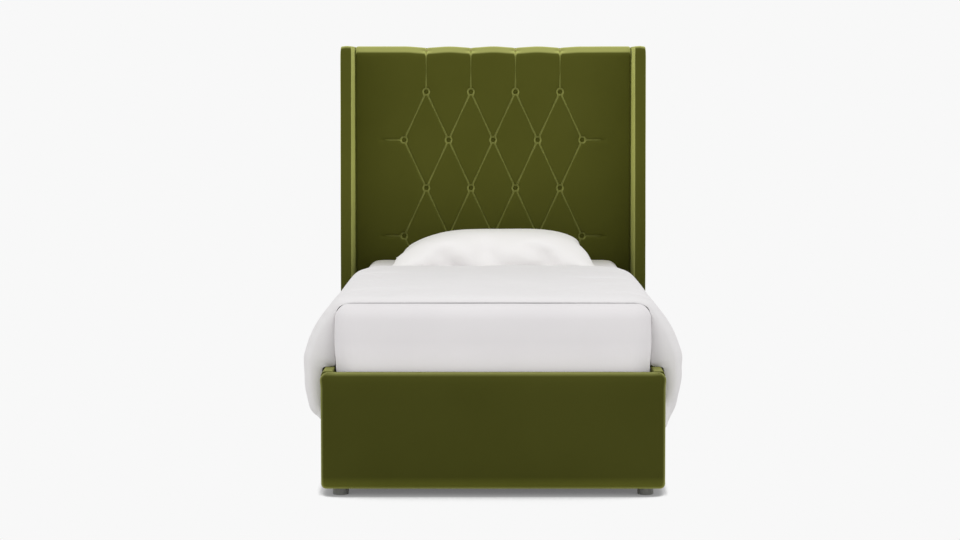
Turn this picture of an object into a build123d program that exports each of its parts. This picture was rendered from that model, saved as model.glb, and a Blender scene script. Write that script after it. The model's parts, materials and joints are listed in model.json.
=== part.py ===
from build123d import *
from math import asin, atan, cos, degrees, radians, sin
import os

# A wingback bed for one person: a tufted headboard between two wings, padded rails on short feet,
# slats on a middle beam, and the mattress, sheet, duvet and pillow that lie on it.
# Millimetres. +Z is up, +Y points to the headboard, +X to the right as seen from the foot.
# The origin is on the floor, in the middle of the bed's length and width.

# Mattress and fitted sheet
mattress_width = 965
mattress_length = 1905
mattress_thickness = 254
mattress_edge_radius = 38
mattress_corner_radius = 70
mattress_side_swell = 3
mattress_side_clearance = 8
mattress_end_clearance = 10
sheet_thickness = 2
sheet_gap = 0.3
sheet_hem_rise = 12

# Rails and their padded covers
foot_height = 27
rail_height = 351
mattress_recess = 59
rail_board_thickness = 19
rail_outer_padding = 10
rail_inner_padding = 7
rail_top_padding = 8
rail_top_radius = 12
rail_bottom_radius = 8
foot_rail_outer_padding = 14
foot_rail_corner_radius = 18
foot_rail_top_radius = 17
foot_rail_bottom_radius = 11

# Headboard
headboard_height = 1413
pad_thickness = 45
pad_top_padding = 13
pad_rail_gap = 7
pad_side_gap = 0.5
pad_top_radius = 32
pad_bottom_radius = 12
pad_side_radius = 8
headboard_board_thickness = 12
headboard_frame_thickness = 38
stile_width = 70
cross_rail_height = 70
bottom_rail_height = 90
middle_rail_row_share = 1.5
back_cover_thickness = 5
lower_cover_thickness = 3

# Wings
wing_thickness = 45
wing_rail_gap = 16
wing_low_depth = 217
wing_high_depth = 186
wing_slope_start = 690
wing_corner_radius = 24
wing_ease_radius = 900
wing_edge_radius = 9
wing_padding = 13
wing_back_padding = 5

# Tufts in the headboard pad
tuft_column_pitch = 175.4
tuft_row_pitch = 189.4
tuft_top_margin = 179
tuft_least_margin = 60
tuft_side_margin = 130
tuft_depth = 26
dimple_mouth_radius = 38
button_radius = 11
button_thickness = 8
button_edge = 2
button_clearance = 0.6
groove_width = 34
groove_depth = 13
side_pull_length = 80
side_pull_depth = 6
tie_radius = 1.2
tie_washer_radius = 10
tie_washer_thickness = 2

# Slats, ledgers and the beam under them
slat_count = 10
slat_width = 70
slat_thickness = 20
slat_side_gap = 3
slat_end_gap = 25
webbing_width = 25
webbing_thickness = 1.5
webbing_place_share = 0.49
ledger_width = 25
ledger_height = 40
ledger_end_gap = 14
beam_width = 38
beam_height = 60
beam_end_gap = 1

# Feet and the middle leg
foot_radius = 24.5
foot_edge_radius = 1.5
leg_width = 45
leg_floor_gap = 20
leveler_radius = 19
leveler_thickness = 8

# Corner blocks
corner_block_size = 64
corner_block_height = 200
side_bolt_height_shares = (0.39, 0.84)
foot_bolt_height_shares = (0.54, 0.69)

# Steel fittings
plate_thickness = 4
plate_width = 40
plate_height = 180
plate_middle_height = 180
plate_screw_inset = 12
plate_clearance = 1
hook_thickness = 3
hook_plate_length = 70
hook_plate_height = 140
hook_pitch = 66
hook_neck_height = 10
hook_drop = 12
hook_tip_thickness = 5
hook_clearance = 0.5
saddle_thickness = 2.5
saddle_reach = 40
saddle_wall_height = 36
saddle_ear_width = 23
saddle_screw_inset = 11

# Fasteners
bolt_radius = 4
bolt_head_radius = 8
bolt_head_height = 5
bolt_bite = 15
screw_radius = 2.25
screw_head_radius = 4
screw_head_height = 2.2
screw_bite = 12
long_screw_bite = 28
stud_in_foot = 15
stud_in_frame = 45
hole_clearance = 0.2
wing_bolt_rail_clearance = 60
ledger_screw_count = 5

# Duvet
duvet_thickness = 18
duvet_foot_setback = 120
duvet_lying_gap = 0.3
duvet_mattress_gap = 1
duvet_rail_gap = 2
duvet_rail_rise = 4
duvet_side_reach = 58
duvet_shoulder_inset = 20
duvet_shoulder_drop = 14
duvet_shoulder_spread = 10
duvet_widest_drop = 190
duvet_slope_bulge = 10
duvet_gather_height = 44
duvet_side_hang = 378
duvet_hem_narrowing = 20
duvet_hem_radius = 16
duvet_station_count = 9
duvet_left_reach_shares = (0.96, 1, 0.94, 0.83, 0.78, 0.83, 0.92, 0.95, 0.9)
duvet_right_reach_shares = (1, 0.98, 0.87, 0.8, 0.83, 0.93, 0.98, 0.92, 0.83)
duvet_left_hang_shares = (1, 1, 0.98, 0.96, 0.97, 0.99, 1.01, 1, 0.98)
duvet_right_hang_shares = (0.97, 1, 1.04, 1.06, 1.04, 0.99, 0.97, 0.98, 1)

# Pillow
pillow_length = 760
pillow_depth = 505
pillow_thickness = 134
pillow_hem_gap = 12
pillow_headboard_gap = 23
pillow_station_shares = (-1, -0.9, -0.66, -0.34, 0, 0.34, 0.66, 0.9, 1)
pillow_depth_shares = (0.9, 0.95, 0.99, 0.99, 0.98, 0.99, 0.99, 0.95, 0.9)
pillow_height_shares = (0.08, 0.42, 0.8, 0.96, 1, 0.97, 0.82, 0.44, 0.08)
pillow_under_share = 0.26

# Planes and places that follow from the sizes above
rail_thickness = rail_board_thickness + rail_outer_padding + rail_inner_padding
foot_rail_thickness = rail_board_thickness + foot_rail_outer_padding + rail_inner_padding
headboard_thickness = (
    pad_thickness + headboard_board_thickness + headboard_frame_thickness + back_cover_thickness
)
inner_width = mattress_width + 2 * mattress_side_clearance
inner_length = mattress_length + 2 * mattress_end_clearance
rail_inner_x = inner_width / 2
rail_board_x = rail_inner_x + rail_inner_padding
rail_outer_x = rail_inner_x + rail_thickness
wing_inner_x = rail_outer_x + wing_rail_gap
wing_outer_x = wing_inner_x + wing_thickness
stile_inner_x = wing_inner_x - stile_width

total_length = foot_rail_thickness + inner_length + headboard_thickness
front_y = -total_length / 2
foot_board_y = front_y + foot_rail_outer_padding
foot_inner_y = front_y + foot_rail_thickness
pad_face_y = foot_inner_y + inner_length
board_front_y = pad_face_y + pad_thickness
frame_front_y = board_front_y + headboard_board_thickness
frame_back_y = frame_front_y + headboard_frame_thickness
frame_middle_y = (frame_front_y + frame_back_y) / 2
back_y = frame_back_y + back_cover_thickness
plate_front_y = board_front_y - plate_thickness
lower_cover_front_y = board_front_y - lower_cover_thickness
rail_end_y = plate_front_y

rail_top_z = foot_height + rail_height
rail_board_top_z = rail_top_z - rail_top_padding
slat_top_z = rail_top_z - mattress_recess
slat_bottom_z = slat_top_z - slat_thickness
ledger_bottom_z = slat_bottom_z - ledger_height
beam_bottom_z = slat_bottom_z - beam_height
pad_bottom_z = rail_top_z + pad_rail_gap
board_top_z = headboard_height - pad_top_padding
bottom_rail_top_z = slat_bottom_z + saddle_thickness
middle_rail_z = headboard_height - tuft_top_margin - tuft_row_pitch * middle_rail_row_share

mattress_middle_y = foot_inner_y + inner_length / 2
mattress_middle_z = slat_top_z + mattress_thickness / 2
mattress_side_x = mattress_width / 2 + mattress_side_swell
sheet_grow = sheet_gap + sheet_thickness
bedding_z = slat_top_z + mattress_thickness + sheet_grow + duvet_lying_gap
pillow_middle_y = pad_face_y - pillow_headboard_gap - pillow_depth / 2
duvet_start_y = foot_inner_y + duvet_foot_setback
duvet_end_y = pillow_middle_y - pillow_depth / 2 - pillow_hem_gap

foot_x = rail_inner_x - foot_radius
front_foot_y = foot_inner_y + foot_radius
rear_foot_x = stile_inner_x + stile_width / 2
rear_foot_y = (board_front_y + frame_back_y) / 2
feet_places = {
    "foot_front_left": (-foot_x, front_foot_y),
    "foot_front_right": (foot_x, front_foot_y),
    "foot_rear_left": (-rear_foot_x, rear_foot_y),
    "foot_rear_right": (rear_foot_x, rear_foot_y),
}
sides = {"left": -1, "right": 1}


def write(part, name):
    """Give a finished piece its name and write it."""
    part.label = name
    export_step(part, f"parts/{name}.step")


def block(x_range, y_range, z_range):
    """A rectangular solid between two values on each axis, in either order."""
    with BuildPart() as solid:
        with BuildSketch(Plane.XY.offset(min(z_range))):
            with Locations((sum(x_range) / 2, sum(y_range) / 2)):
                Rectangle(abs(x_range[1] - x_range[0]), abs(y_range[1] - y_range[0]))
        extrude(amount=abs(z_range[1] - z_range[0]))
    return solid.part


def rods(plane, places, radius, length):
    """Round rods that start on a plane. A negative length runs against the plane's normal."""
    with BuildPart() as group:
        with BuildSketch(plane):
            with Locations(*places):
                Circle(radius)
        extrude(amount=length)
    return group.part


def drill(plane, places, radius, length):
    """Cut clearance holes for such rods in the piece that is being built."""
    add(rods(plane, places, radius + hole_clearance, length), mode=Mode.SUBTRACT)


def fasteners(plane, places, radius, length, head_radius, head_height):
    """Bolts or screws whose heads sit on a plane, with their shanks along the length."""
    head_height = -head_height if length > 0 else head_height
    with BuildPart() as group:
        add(rods(plane, places, radius, length))
        add(rods(plane, places, head_radius, head_height))
    return group.part


def bolts(plane, places, length):
    """The larger of the bed's two kinds of fastener."""
    return fasteners(plane, places, bolt_radius, length, bolt_head_radius, bolt_head_height)


def screws(plane, places, length):
    """The smaller of the bed's two kinds of fastener."""
    return fasteners(plane, places, screw_radius, length, screw_head_radius, screw_head_height)


def across_y(y):
    """The plane at one y, with sketch points given as x and z. Its normal is -Y."""
    return Plane.XZ.offset(-y)


def across_x(x):
    """The plane at one x, with sketch points given as y and z. Its normal is +X."""
    return Plane.YZ.offset(x)


# Places of the fasteners, shared by the pieces that they go through
side_bolt_places = [
    (front_foot_y, foot_height + corner_block_height * share) for share in side_bolt_height_shares
]
foot_bolt_heights = [foot_height + corner_block_height * share for share in foot_bolt_height_shares]
wing_bolt_heights = (
    bottom_rail_top_z - bottom_rail_height - wing_bolt_rail_clearance,
    bottom_rail_top_z + wing_bolt_rail_clearance,
    middle_rail_z - cross_rail_height / 2 - wing_bolt_rail_clearance,
    board_top_z - cross_rail_height - wing_bolt_rail_clearance,
)
wing_bolt_places = [(frame_middle_y, height) for height in wing_bolt_heights]
corner_bolt_length = corner_block_size + rail_inner_padding + bolt_bite
wing_bolt_length = stile_width + wing_padding + bolt_bite
hook_x = rail_board_x - hook_thickness / 2
plate_screw_heights = [
    plate_middle_height + side * (plate_height / 2 - plate_screw_inset) for side in sides.values()
]
hook_screw_places = [
    (rail_end_y - hook_plate_length + plate_screw_inset, plate_middle_height + side * hook_pitch / 2)
    for side in sides.values()
]
hook_heights = [plate_middle_height + side * hook_pitch / 2 for side in sides.values()]
ledger_start_y = foot_inner_y + ledger_end_gap
ledger_end_y = rail_end_y - ledger_end_gap
ledger_screw_pitch = (ledger_end_y - ledger_start_y) / ledger_screw_count
ledger_screw_places = [
    (ledger_start_y + ledger_screw_pitch * (index + 1 / 2), slat_bottom_z - ledger_height / 2)
    for index in range(ledger_screw_count)
]
ledger_screw_length = ledger_width + rail_inner_padding + screw_bite
saddle_half_width = beam_width / 2 + plate_clearance + saddle_thickness
saddle_screw_places = [
    (side * (saddle_half_width + saddle_screw_inset), beam_bottom_z + saddle_wall_height * share)
    for side in sides.values()
    for share in side_bolt_height_shares
]
head_saddle_y = lower_cover_front_y - saddle_thickness
foot_saddle_screw_length = saddle_thickness + rail_inner_padding + screw_bite
head_saddle_screw_length = saddle_thickness + lower_cover_thickness + long_screw_bite
plate_screw_length = plate_thickness + long_screw_bite


def tuft_row(index):
    """The places of one row of tufts. Rows count from the top, and every other one is shorter."""
    count = tuft_columns - 1 + index % 2
    height = headboard_height - tuft_top_margin - index * tuft_row_pitch
    return [((column - (count - 1) / 2) * tuft_column_pitch, height) for column in range(count)]


pad_width = 2 * (wing_inner_x - pad_side_gap)
pad_height = headboard_height - pad_bottom_z
tuft_columns = 1 + int((pad_width - 2 * tuft_side_margin) // tuft_column_pitch)
tuft_row_count = 1 + int((pad_height - tuft_top_margin - tuft_least_margin) // tuft_row_pitch)
tuft_rows = [tuft_row(index) for index in range(tuft_row_count)]
tuft_places = [place for row in tuft_rows for place in row]


def pleat_lines():
    """Each sewn line of the pad: where it starts, where it ends and how deep it is."""
    lines = []
    for upper_row, lower_row in zip(tuft_rows, tuft_rows[1:]):
        for upper in upper_row:
            for lower in lower_row:
                if abs(upper[0] - lower[0]) < tuft_column_pitch:
                    lines.append((upper, lower, groove_depth))
    for place in tuft_rows[0]:
        lines.append((place, (place[0], headboard_height), groove_depth))
    for place in tuft_rows[-1]:
        lines.append((place, (place[0], pad_bottom_z), groove_depth))
    for row in tuft_rows[1::2]:
        for place, side in ((row[0], -1), (row[-1], 1)):
            lines.append((place, (place[0] + side * side_pull_length, place[1]), side_pull_depth))
    return lines


def groove_cutter(start, end, depth):
    """A V-shaped channel along the pad's face, whose mouth runs on past the face."""
    along = Vector(end[0] - start[0], 0, end[1] - start[1])
    half_mouth = groove_width / 2
    with BuildPart() as channel:
        with BuildSketch(Plane(origin=(start[0], pad_face_y, start[1]), x_dir=(0, 1, 0), z_dir=along)):
            with BuildLine():
                Polyline(
                    (depth, 0),
                    (-depth, 2 * half_mouth),
                    (-depth, -2 * half_mouth),
                    close=True,
                )
            make_face()
        extrude(amount=along.length)
    return channel.part


def dimple_cutter():
    """The hollow round one button, turned about its own axis on the pad's face."""
    floor_radius = button_radius + button_clearance
    with BuildPart() as hollow:
        with BuildSketch(Plane.XY):
            with BuildLine():
                Polyline(
                    (0, tuft_depth),
                    (floor_radius, tuft_depth),
                    (floor_radius, tuft_depth - button_thickness),
                )
                ThreePointArc(
                    (floor_radius, tuft_depth - button_thickness),
                    ((floor_radius + dimple_mouth_radius) / 2, (tuft_depth - button_thickness) / 3),
                    (dimple_mouth_radius, 0),
                )
                Polyline(
                    (dimple_mouth_radius, 0),
                    (dimple_mouth_radius, -tuft_depth),
                    (0, -tuft_depth),
                    (0, tuft_depth),
                )
            make_face()
        revolve(axis=Axis.Y)
    return hollow.part


def post_screw_places(side):
    """The four screws of the slotted plate on one side, as x and z."""
    return [
        (side * (hook_x + way * plate_screw_inset), height)
        for height in plate_screw_heights
        for way in (-1, 1)
    ]


def hook_slots(side, y_range):
    """The slots that the hooks on one side go through and drop in."""
    slot_x = (
        side * (rail_board_x - hook_thickness - hook_clearance),
        side * (rail_board_x + hook_clearance),
    )
    with BuildPart() as slots:
        for hook_z in hook_heights:
            slot_z = (hook_z - hook_drop - hook_clearance, hook_z + hook_neck_height + hook_clearance)
            add(block(slot_x, y_range, slot_z))
    return slots.part


# Headboard frame: two stiles, three cross rails and a board in front of them
for name, side in sides.items():
    with BuildPart() as stile:
        add(
            block(
                (side * stile_inner_x, side * wing_inner_x),
                (frame_front_y, frame_back_y),
                (foot_height, board_top_z),
            )
        )
        drill(across_x(side * stile_inner_x), wing_bolt_places, bolt_radius, side * stile_width)
        drill(
            Plane.XY.offset(foot_height),
            [(side * rear_foot_x, rear_foot_y)],
            bolt_radius,
            stud_in_frame,
        )
        drill(across_y(plate_front_y), post_screw_places(side), screw_radius, -plate_screw_length)
    write(stile.part, f"headboard_stile_{name}")

cross_rail_x = (-stile_inner_x, stile_inner_x)
frame_y = (frame_front_y, frame_back_y)

with BuildPart() as headboard_top_rail:
    add(block(cross_rail_x, frame_y, (board_top_z - cross_rail_height, board_top_z)))
write(headboard_top_rail.part, "headboard_top_rail")

with BuildPart() as headboard_middle_rail:
    middle_rail_bottom_z = middle_rail_z - cross_rail_height / 2
    add(block(cross_rail_x, frame_y, (middle_rail_bottom_z, middle_rail_bottom_z + cross_rail_height)))
write(headboard_middle_rail.part, "headboard_middle_rail")

with BuildPart() as headboard_bottom_rail:
    add(block(cross_rail_x, frame_y, (bottom_rail_top_z - bottom_rail_height, bottom_rail_top_z)))
    drill(across_y(head_saddle_y), saddle_screw_places, screw_radius, -head_saddle_screw_length)
write(headboard_bottom_rail.part, "headboard_bottom_rail")

with BuildPart() as headboard_board:
    add(block((-wing_inner_x, wing_inner_x), (board_front_y, frame_front_y), (foot_height, board_top_z)))
    drill(across_y(board_front_y), tuft_places, tie_radius, -headboard_board_thickness)
    drill(across_y(head_saddle_y), saddle_screw_places, screw_radius, -head_saddle_screw_length)
    for side in sides.values():
        drill(across_y(plate_front_y), post_screw_places(side), screw_radius, -plate_screw_length)
        add(hook_slots(side, (board_front_y, frame_front_y)), mode=Mode.SUBTRACT)
write(headboard_board.part, "headboard_board")

# Headboard pad: foam and velvet over the front and the top edge, drawn in by the tufts
with BuildPart() as headboard_pad:
    with BuildSketch(across_x(-pad_width / 2)) as pad_profile:
        with BuildLine():
            Polyline(
                (pad_face_y, pad_bottom_z),
                (pad_face_y, headboard_height),
                (back_y, headboard_height),
                (back_y, board_top_z),
                (board_front_y, board_top_z),
                (board_front_y, pad_bottom_z),
                close=True,
            )
        make_face()
        fillet(pad_profile.vertices().group_by(Axis.X)[0].sort_by(Axis.Y)[-1], pad_top_radius)
        fillet(pad_profile.vertices().group_by(Axis.X)[0].sort_by(Axis.Y)[0], pad_bottom_radius)
    extrude(amount=pad_width)
    front_side_edges = [
        edge
        for face in (faces().sort_by(Axis.X)[0], faces().sort_by(Axis.X)[-1])
        for edge in face.edges().filter_by(Axis.Z).group_by(Axis.Y)[0]
    ]
    fillet(front_side_edges, pad_side_radius)
    add([groove_cutter(*line) for line in pleat_lines()], mode=Mode.SUBTRACT)
    with Locations(*[(x, pad_face_y, z) for x, z in tuft_places]):
        add(dimple_cutter(), mode=Mode.SUBTRACT)
    drill(across_y(pad_face_y), tuft_places, tie_radius, -pad_thickness)
write(headboard_pad.part, "headboard_pad")

button_back_y = pad_face_y + tuft_depth
dome_height = button_thickness - button_edge
dome_radius = (button_radius**2 + dome_height**2) / (2 * dome_height)
dome_half_angle = asin(button_radius / dome_radius) / 2

with BuildPart() as tuft_buttons:
    with BuildSketch(Plane.XY) as button_profile:
        with BuildLine():
            Polyline((0, 0), (button_radius, 0), (button_radius, -button_edge))
            ThreePointArc(
                (button_radius, -button_edge),
                (
                    dome_radius * sin(dome_half_angle),
                    dome_radius - button_thickness - dome_radius * cos(dome_half_angle),
                ),
                (0, -button_thickness),
            )
            Line((0, -button_thickness), (0, 0))
        make_face()
    with Locations(*[(x, button_back_y, z) for x, z in tuft_places]):
        add(revolve(button_profile.sketch, axis=Axis.Y, mode=Mode.PRIVATE))
write(tuft_buttons.part, "tuft_buttons")

with BuildPart() as button_ties:
    add(rods(across_y(button_back_y), tuft_places, tie_radius, button_back_y - frame_front_y))
    add(rods(across_y(frame_front_y), tuft_places, tie_washer_radius, -tie_washer_thickness))
write(button_ties.part, "button_ties")

with BuildPart() as headboard_back_cover:
    add(block((-wing_inner_x, wing_inner_x), (frame_back_y, back_y), (foot_height, board_top_z)))
write(headboard_back_cover.part, "headboard_back_cover")

with BuildPart() as headboard_lower_cover:
    lower_cover_y = (lower_cover_front_y, board_front_y)
    add(block((-wing_inner_x, wing_inner_x), lower_cover_y, (foot_height, pad_bottom_z)))
    drill(across_y(lower_cover_front_y), saddle_screw_places, screw_radius, -lower_cover_thickness)
    for side in sides.values():
        window_half_width = plate_width / 2 + plate_clearance
        window_half_height = plate_height / 2 + plate_clearance
        add(
            block(
                (side * (hook_x - window_half_width), side * (hook_x + window_half_width)),
                lower_cover_y,
                (plate_middle_height - window_half_height, plate_middle_height + window_half_height),
            ),
            mode=Mode.SUBTRACT,
        )
write(headboard_lower_cover.part, "headboard_lower_cover")


def wing_form(x_range, front_inset, back_inset, top_inset):
    """A wing seen from its side: an eased slope in front and a round upper corner."""
    low_y = pad_face_y - wing_low_depth + front_inset
    high_y = pad_face_y - wing_high_depth + front_inset
    top_z = headboard_height - top_inset
    with BuildPart() as wing:
        with BuildSketch(across_x(min(x_range))) as outline:
            with BuildLine():
                Polyline(
                    (low_y, foot_height),
                    (low_y, wing_slope_start),
                    (high_y, top_z),
                    (back_y - back_inset, top_z),
                    (back_y - back_inset, foot_height),
                    close=True,
                )
            make_face()
            front_corners = outline.vertices().sort_by(Axis.X)
            fillet(front_corners.sort_by_distance((high_y, top_z))[0], wing_corner_radius - top_inset)
            fillet(outline.vertices().sort_by_distance((low_y, wing_slope_start))[0], wing_ease_radius)
        extrude(amount=abs(x_range[1] - x_range[0]))
    return wing.part


# Wings: a board in a padded cover, open below, bolted to the stile
for name, side in sides.items():
    board_x = (side * (wing_inner_x + wing_padding), side * (wing_outer_x - wing_padding))
    with BuildPart() as wing_board:
        add(wing_form(board_x, wing_padding, wing_back_padding, wing_padding))
        drill(across_x(board_x[0]), wing_bolt_places, bolt_radius, side * bolt_bite)
    write(wing_board.part, f"wing_{name}_board")

    with BuildPart() as wing_cover:
        add(wing_form((side * wing_inner_x, side * wing_outer_x), 0, 0, 0))
        round_edges = [
            edge
            for face in (faces().sort_by(Axis.X)[0], faces().sort_by(Axis.X)[-1])
            for edge in face.edges()
            if edge.center().Z > foot_height + wing_edge_radius and edge.center().Y < frame_back_y
        ]
        fillet(round_edges, wing_edge_radius)
        add(wing_form(board_x, wing_padding, wing_back_padding, wing_padding), mode=Mode.SUBTRACT)
        drill(across_x(side * wing_inner_x), wing_bolt_places, bolt_radius, side * wing_padding)
    write(wing_cover.part, f"wing_{name}_cover")

with BuildPart() as wing_bolts:
    for side in sides.values():
        add(bolts(across_x(side * stile_inner_x), wing_bolt_places, side * wing_bolt_length))
write(wing_bolts.part, "wing_bolts")

# Side rails: a board in a padded cover that is open below, with a hook plate at the head end
rail_y = (foot_inner_y, rail_end_y)
for name, side in sides.items():
    with BuildPart() as side_rail_board:
        board_x = (side * rail_board_x, side * (rail_board_x + rail_board_thickness))
        add(block(board_x, rail_y, (foot_height, rail_board_top_z)))
        drill(across_x(side * rail_board_x), side_bolt_places, bolt_radius, side * bolt_bite)
        drill(across_x(side * rail_board_x), ledger_screw_places, screw_radius, side * screw_bite)
        drill(across_x(side * rail_board_x), hook_screw_places, screw_radius, side * screw_bite)
    write(side_rail_board.part, f"side_rail_{name}_board")

    with BuildPart() as side_rail_cover:
        with BuildSketch(across_y(rail_end_y)) as section:
            with Locations((side * (rail_inner_x + rail_outer_x) / 2, foot_height + rail_height / 2)):
                Rectangle(rail_thickness, rail_height)
            outer_corners = section.vertices().sort_by(Axis.X, reverse=side > 0)[:2]
            fillet(outer_corners.sort_by(Axis.Y)[-1], rail_top_radius)
            fillet(outer_corners.sort_by(Axis.Y)[0], rail_bottom_radius)
            with Locations((sum(board_x) / 2, (foot_height + rail_board_top_z) / 2)):
                Rectangle(rail_board_thickness, rail_board_top_z - foot_height, mode=Mode.SUBTRACT)
        extrude(amount=rail_end_y - foot_inner_y)
        inner_face = across_x(side * rail_inner_x)
        drill(inner_face, side_bolt_places, bolt_radius, side * rail_inner_padding)
        drill(inner_face, ledger_screw_places, screw_radius, side * rail_inner_padding)
        notch_length = hook_plate_length + plate_clearance
        notch_half_height = hook_plate_height / 2 + plate_clearance
        add(
            block(
                (side * rail_inner_x, side * rail_board_x),
                (rail_end_y - notch_length, rail_end_y),
                (plate_middle_height - notch_half_height, plate_middle_height + notch_half_height),
            ),
            mode=Mode.SUBTRACT,
        )
    write(side_rail_cover.part, f"side_rail_{name}_cover")

# Foot rail: a board in a padded cover that is open below and rounded where it shows
foot_bolt_places = [(side * foot_x, z) for side in sides.values() for z in foot_bolt_heights]
foot_board_x = rail_outer_x - rail_outer_padding
foot_board_y_range = (foot_board_y, foot_board_y + rail_board_thickness)

with BuildPart() as foot_rail_board:
    add(block((-foot_board_x, foot_board_x), foot_board_y_range, (foot_height, rail_board_top_z)))
    drill(across_y(foot_board_y_range[1]), foot_bolt_places, bolt_radius, bolt_bite)
    drill(across_y(foot_board_y_range[1]), saddle_screw_places, screw_radius, screw_bite)
write(foot_rail_board.part, "foot_rail_board")

with BuildPart() as foot_rail_cover:
    add(block((-rail_outer_x, rail_outer_x), (front_y, foot_inner_y), (foot_height, rail_top_z)))
    fillet(edges().filter_by(Axis.Z).group_by(Axis.Y)[0], foot_rail_corner_radius)
    fillet(faces().sort_by(Axis.Z)[-1].edges(), foot_rail_top_radius)
    bottom_edges = faces().sort_by(Axis.Z)[0].edges()
    fillet([edge for edge in bottom_edges if edge.center().Y < foot_board_y], foot_rail_bottom_radius)
    add(
        block((-foot_board_x, foot_board_x), foot_board_y_range, (foot_height, rail_board_top_z)),
        mode=Mode.SUBTRACT,
    )
    drill(across_y(foot_inner_y), foot_bolt_places, bolt_radius, rail_inner_padding)
    drill(across_y(foot_inner_y), saddle_screw_places, screw_radius, rail_inner_padding)
write(foot_rail_cover.part, "foot_rail_cover")

# Corner blocks tie the side rails to the foot rail and stand on the front feet
for name, side in sides.items():
    with BuildPart() as corner_block:
        block_inner_x = side * (rail_inner_x - corner_block_size)
        block_back_y = foot_inner_y + corner_block_size
        add(
            block(
                (block_inner_x, side * rail_inner_x),
                (foot_inner_y, block_back_y),
                (foot_height, foot_height + corner_block_height),
            )
        )
        drill(across_x(block_inner_x), side_bolt_places, bolt_radius, side * corner_block_size)
        drill(
            across_y(block_back_y),
            [(side * foot_x, z) for z in foot_bolt_heights],
            bolt_radius,
            corner_block_size,
        )
        drill(Plane.XY.offset(foot_height), [(side * foot_x, front_foot_y)], bolt_radius, stud_in_frame)
    write(corner_block.part, f"corner_block_{name}")

with BuildPart() as corner_bolts:
    for side in sides.values():
        block_inner_x = side * (rail_inner_x - corner_block_size)
        add(bolts(across_x(block_inner_x), side_bolt_places, side * corner_bolt_length))
    add(bolts(across_y(foot_inner_y + corner_block_size), foot_bolt_places, corner_bolt_length))
write(corner_bolts.part, "corner_bolts")

# Steel hooks on the rails hang in slotted plates on the headboard
for name, side in sides.items():
    with BuildPart() as post_plate:
        add(
            block(
                (side * (hook_x - plate_width / 2), side * (hook_x + plate_width / 2)),
                (plate_front_y, board_front_y),
                (plate_middle_height - plate_height / 2, plate_middle_height + plate_height / 2),
            )
        )
        add(hook_slots(side, (plate_front_y, board_front_y)), mode=Mode.SUBTRACT)
        drill(across_y(plate_front_y), post_screw_places(side), screw_radius, -plate_thickness)
        drill(across_y(plate_front_y), post_screw_places(side), screw_head_radius, -screw_head_height)
    write(post_plate.part, f"post_plate_{name}")

    with BuildPart() as rail_hook:
        hook_plate_x = (side * (rail_board_x - hook_thickness), side * rail_board_x)
        tip_y = (board_front_y + hook_clearance, board_front_y + hook_clearance + hook_tip_thickness)
        add(
            block(
                hook_plate_x,
                (rail_end_y - hook_plate_length, rail_end_y),
                (plate_middle_height - hook_plate_height / 2, plate_middle_height + hook_plate_height / 2),
            )
        )
        for hook_z in hook_heights:
            add(block(hook_plate_x, (rail_end_y, tip_y[1]), (hook_z, hook_z + hook_neck_height)))
            add(block(hook_plate_x, tip_y, (hook_z - hook_drop, hook_z)))
        drill(across_x(side * rail_board_x), hook_screw_places, screw_radius, -side * hook_thickness)
    write(rail_hook.part, f"rail_hook_{name}")

with BuildPart() as plate_screws:
    for side in sides.values():
        hook_face_x = side * (rail_board_x - hook_thickness)
        sunk_length = plate_screw_length - screw_head_height
        add(screws(across_y(plate_front_y + screw_head_height), post_screw_places(side), -sunk_length))
        add(screws(across_x(hook_face_x), hook_screw_places, side * (hook_thickness + screw_bite)))
write(plate_screws.part, "plate_screws")

# Ledgers along the side rails carry the slat ends
for name, side in sides.items():
    with BuildPart() as ledger:
        ledger_inner_x = side * (rail_inner_x - ledger_width)
        add(
            block(
                (ledger_inner_x, side * rail_inner_x),
                (ledger_start_y, ledger_end_y),
                (ledger_bottom_z, slat_bottom_z),
            )
        )
        drill(across_x(ledger_inner_x), ledger_screw_places, screw_radius, side * ledger_width)
    write(ledger.part, f"ledger_{name}")

with BuildPart() as ledger_screws:
    for side in sides.values():
        ledger_inner_x = side * (rail_inner_x - ledger_width)
        add(screws(across_x(ledger_inner_x), ledger_screw_places, side * ledger_screw_length))
write(ledger_screws.part, "ledger_screws")

# The middle beam hangs in two steel saddles and stands on one leg
beam_start_y = foot_inner_y + saddle_thickness + beam_end_gap
beam_end_y = head_saddle_y - beam_end_gap

with BuildPart() as center_beam:
    add(block((-beam_width / 2, beam_width / 2), (beam_start_y, beam_end_y), (beam_bottom_z, slat_bottom_z)))
    drill(Plane.XY.offset(beam_bottom_z), [(0, 0)], bolt_radius, beam_height / 2)
write(center_beam.part, "center_beam")


def beam_saddle(wall_y, way):
    """A steel saddle on the wall at one y, which holds the beam on the side given by way."""
    back_y_range = (wall_y, wall_y + way * saddle_thickness)
    reach_y_range = (wall_y, wall_y + way * saddle_reach)
    floor_z = (beam_bottom_z - saddle_thickness, beam_bottom_z)
    wall_z = (floor_z[0], beam_bottom_z + saddle_wall_height)
    ear_x = saddle_half_width + saddle_ear_width
    with BuildPart() as saddle:
        add(block((-ear_x, ear_x), back_y_range, wall_z))
        add(block((-saddle_half_width, saddle_half_width), reach_y_range, floor_z))
        for side in sides.values():
            wall_x = (side * (saddle_half_width - saddle_thickness), side * saddle_half_width)
            add(block(wall_x, reach_y_range, wall_z))
        drill(across_y(wall_y), saddle_screw_places, screw_radius, -way * saddle_thickness)
    return saddle.part


write(beam_saddle(foot_inner_y, 1), "beam_saddle_foot")
write(beam_saddle(lower_cover_front_y, -1), "beam_saddle_head")

with BuildPart() as saddle_screws:
    add(screws(across_y(foot_inner_y + saddle_thickness), saddle_screw_places, foot_saddle_screw_length))
    add(screws(across_y(head_saddle_y), saddle_screw_places, -head_saddle_screw_length))
write(saddle_screws.part, "saddle_screws")

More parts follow.
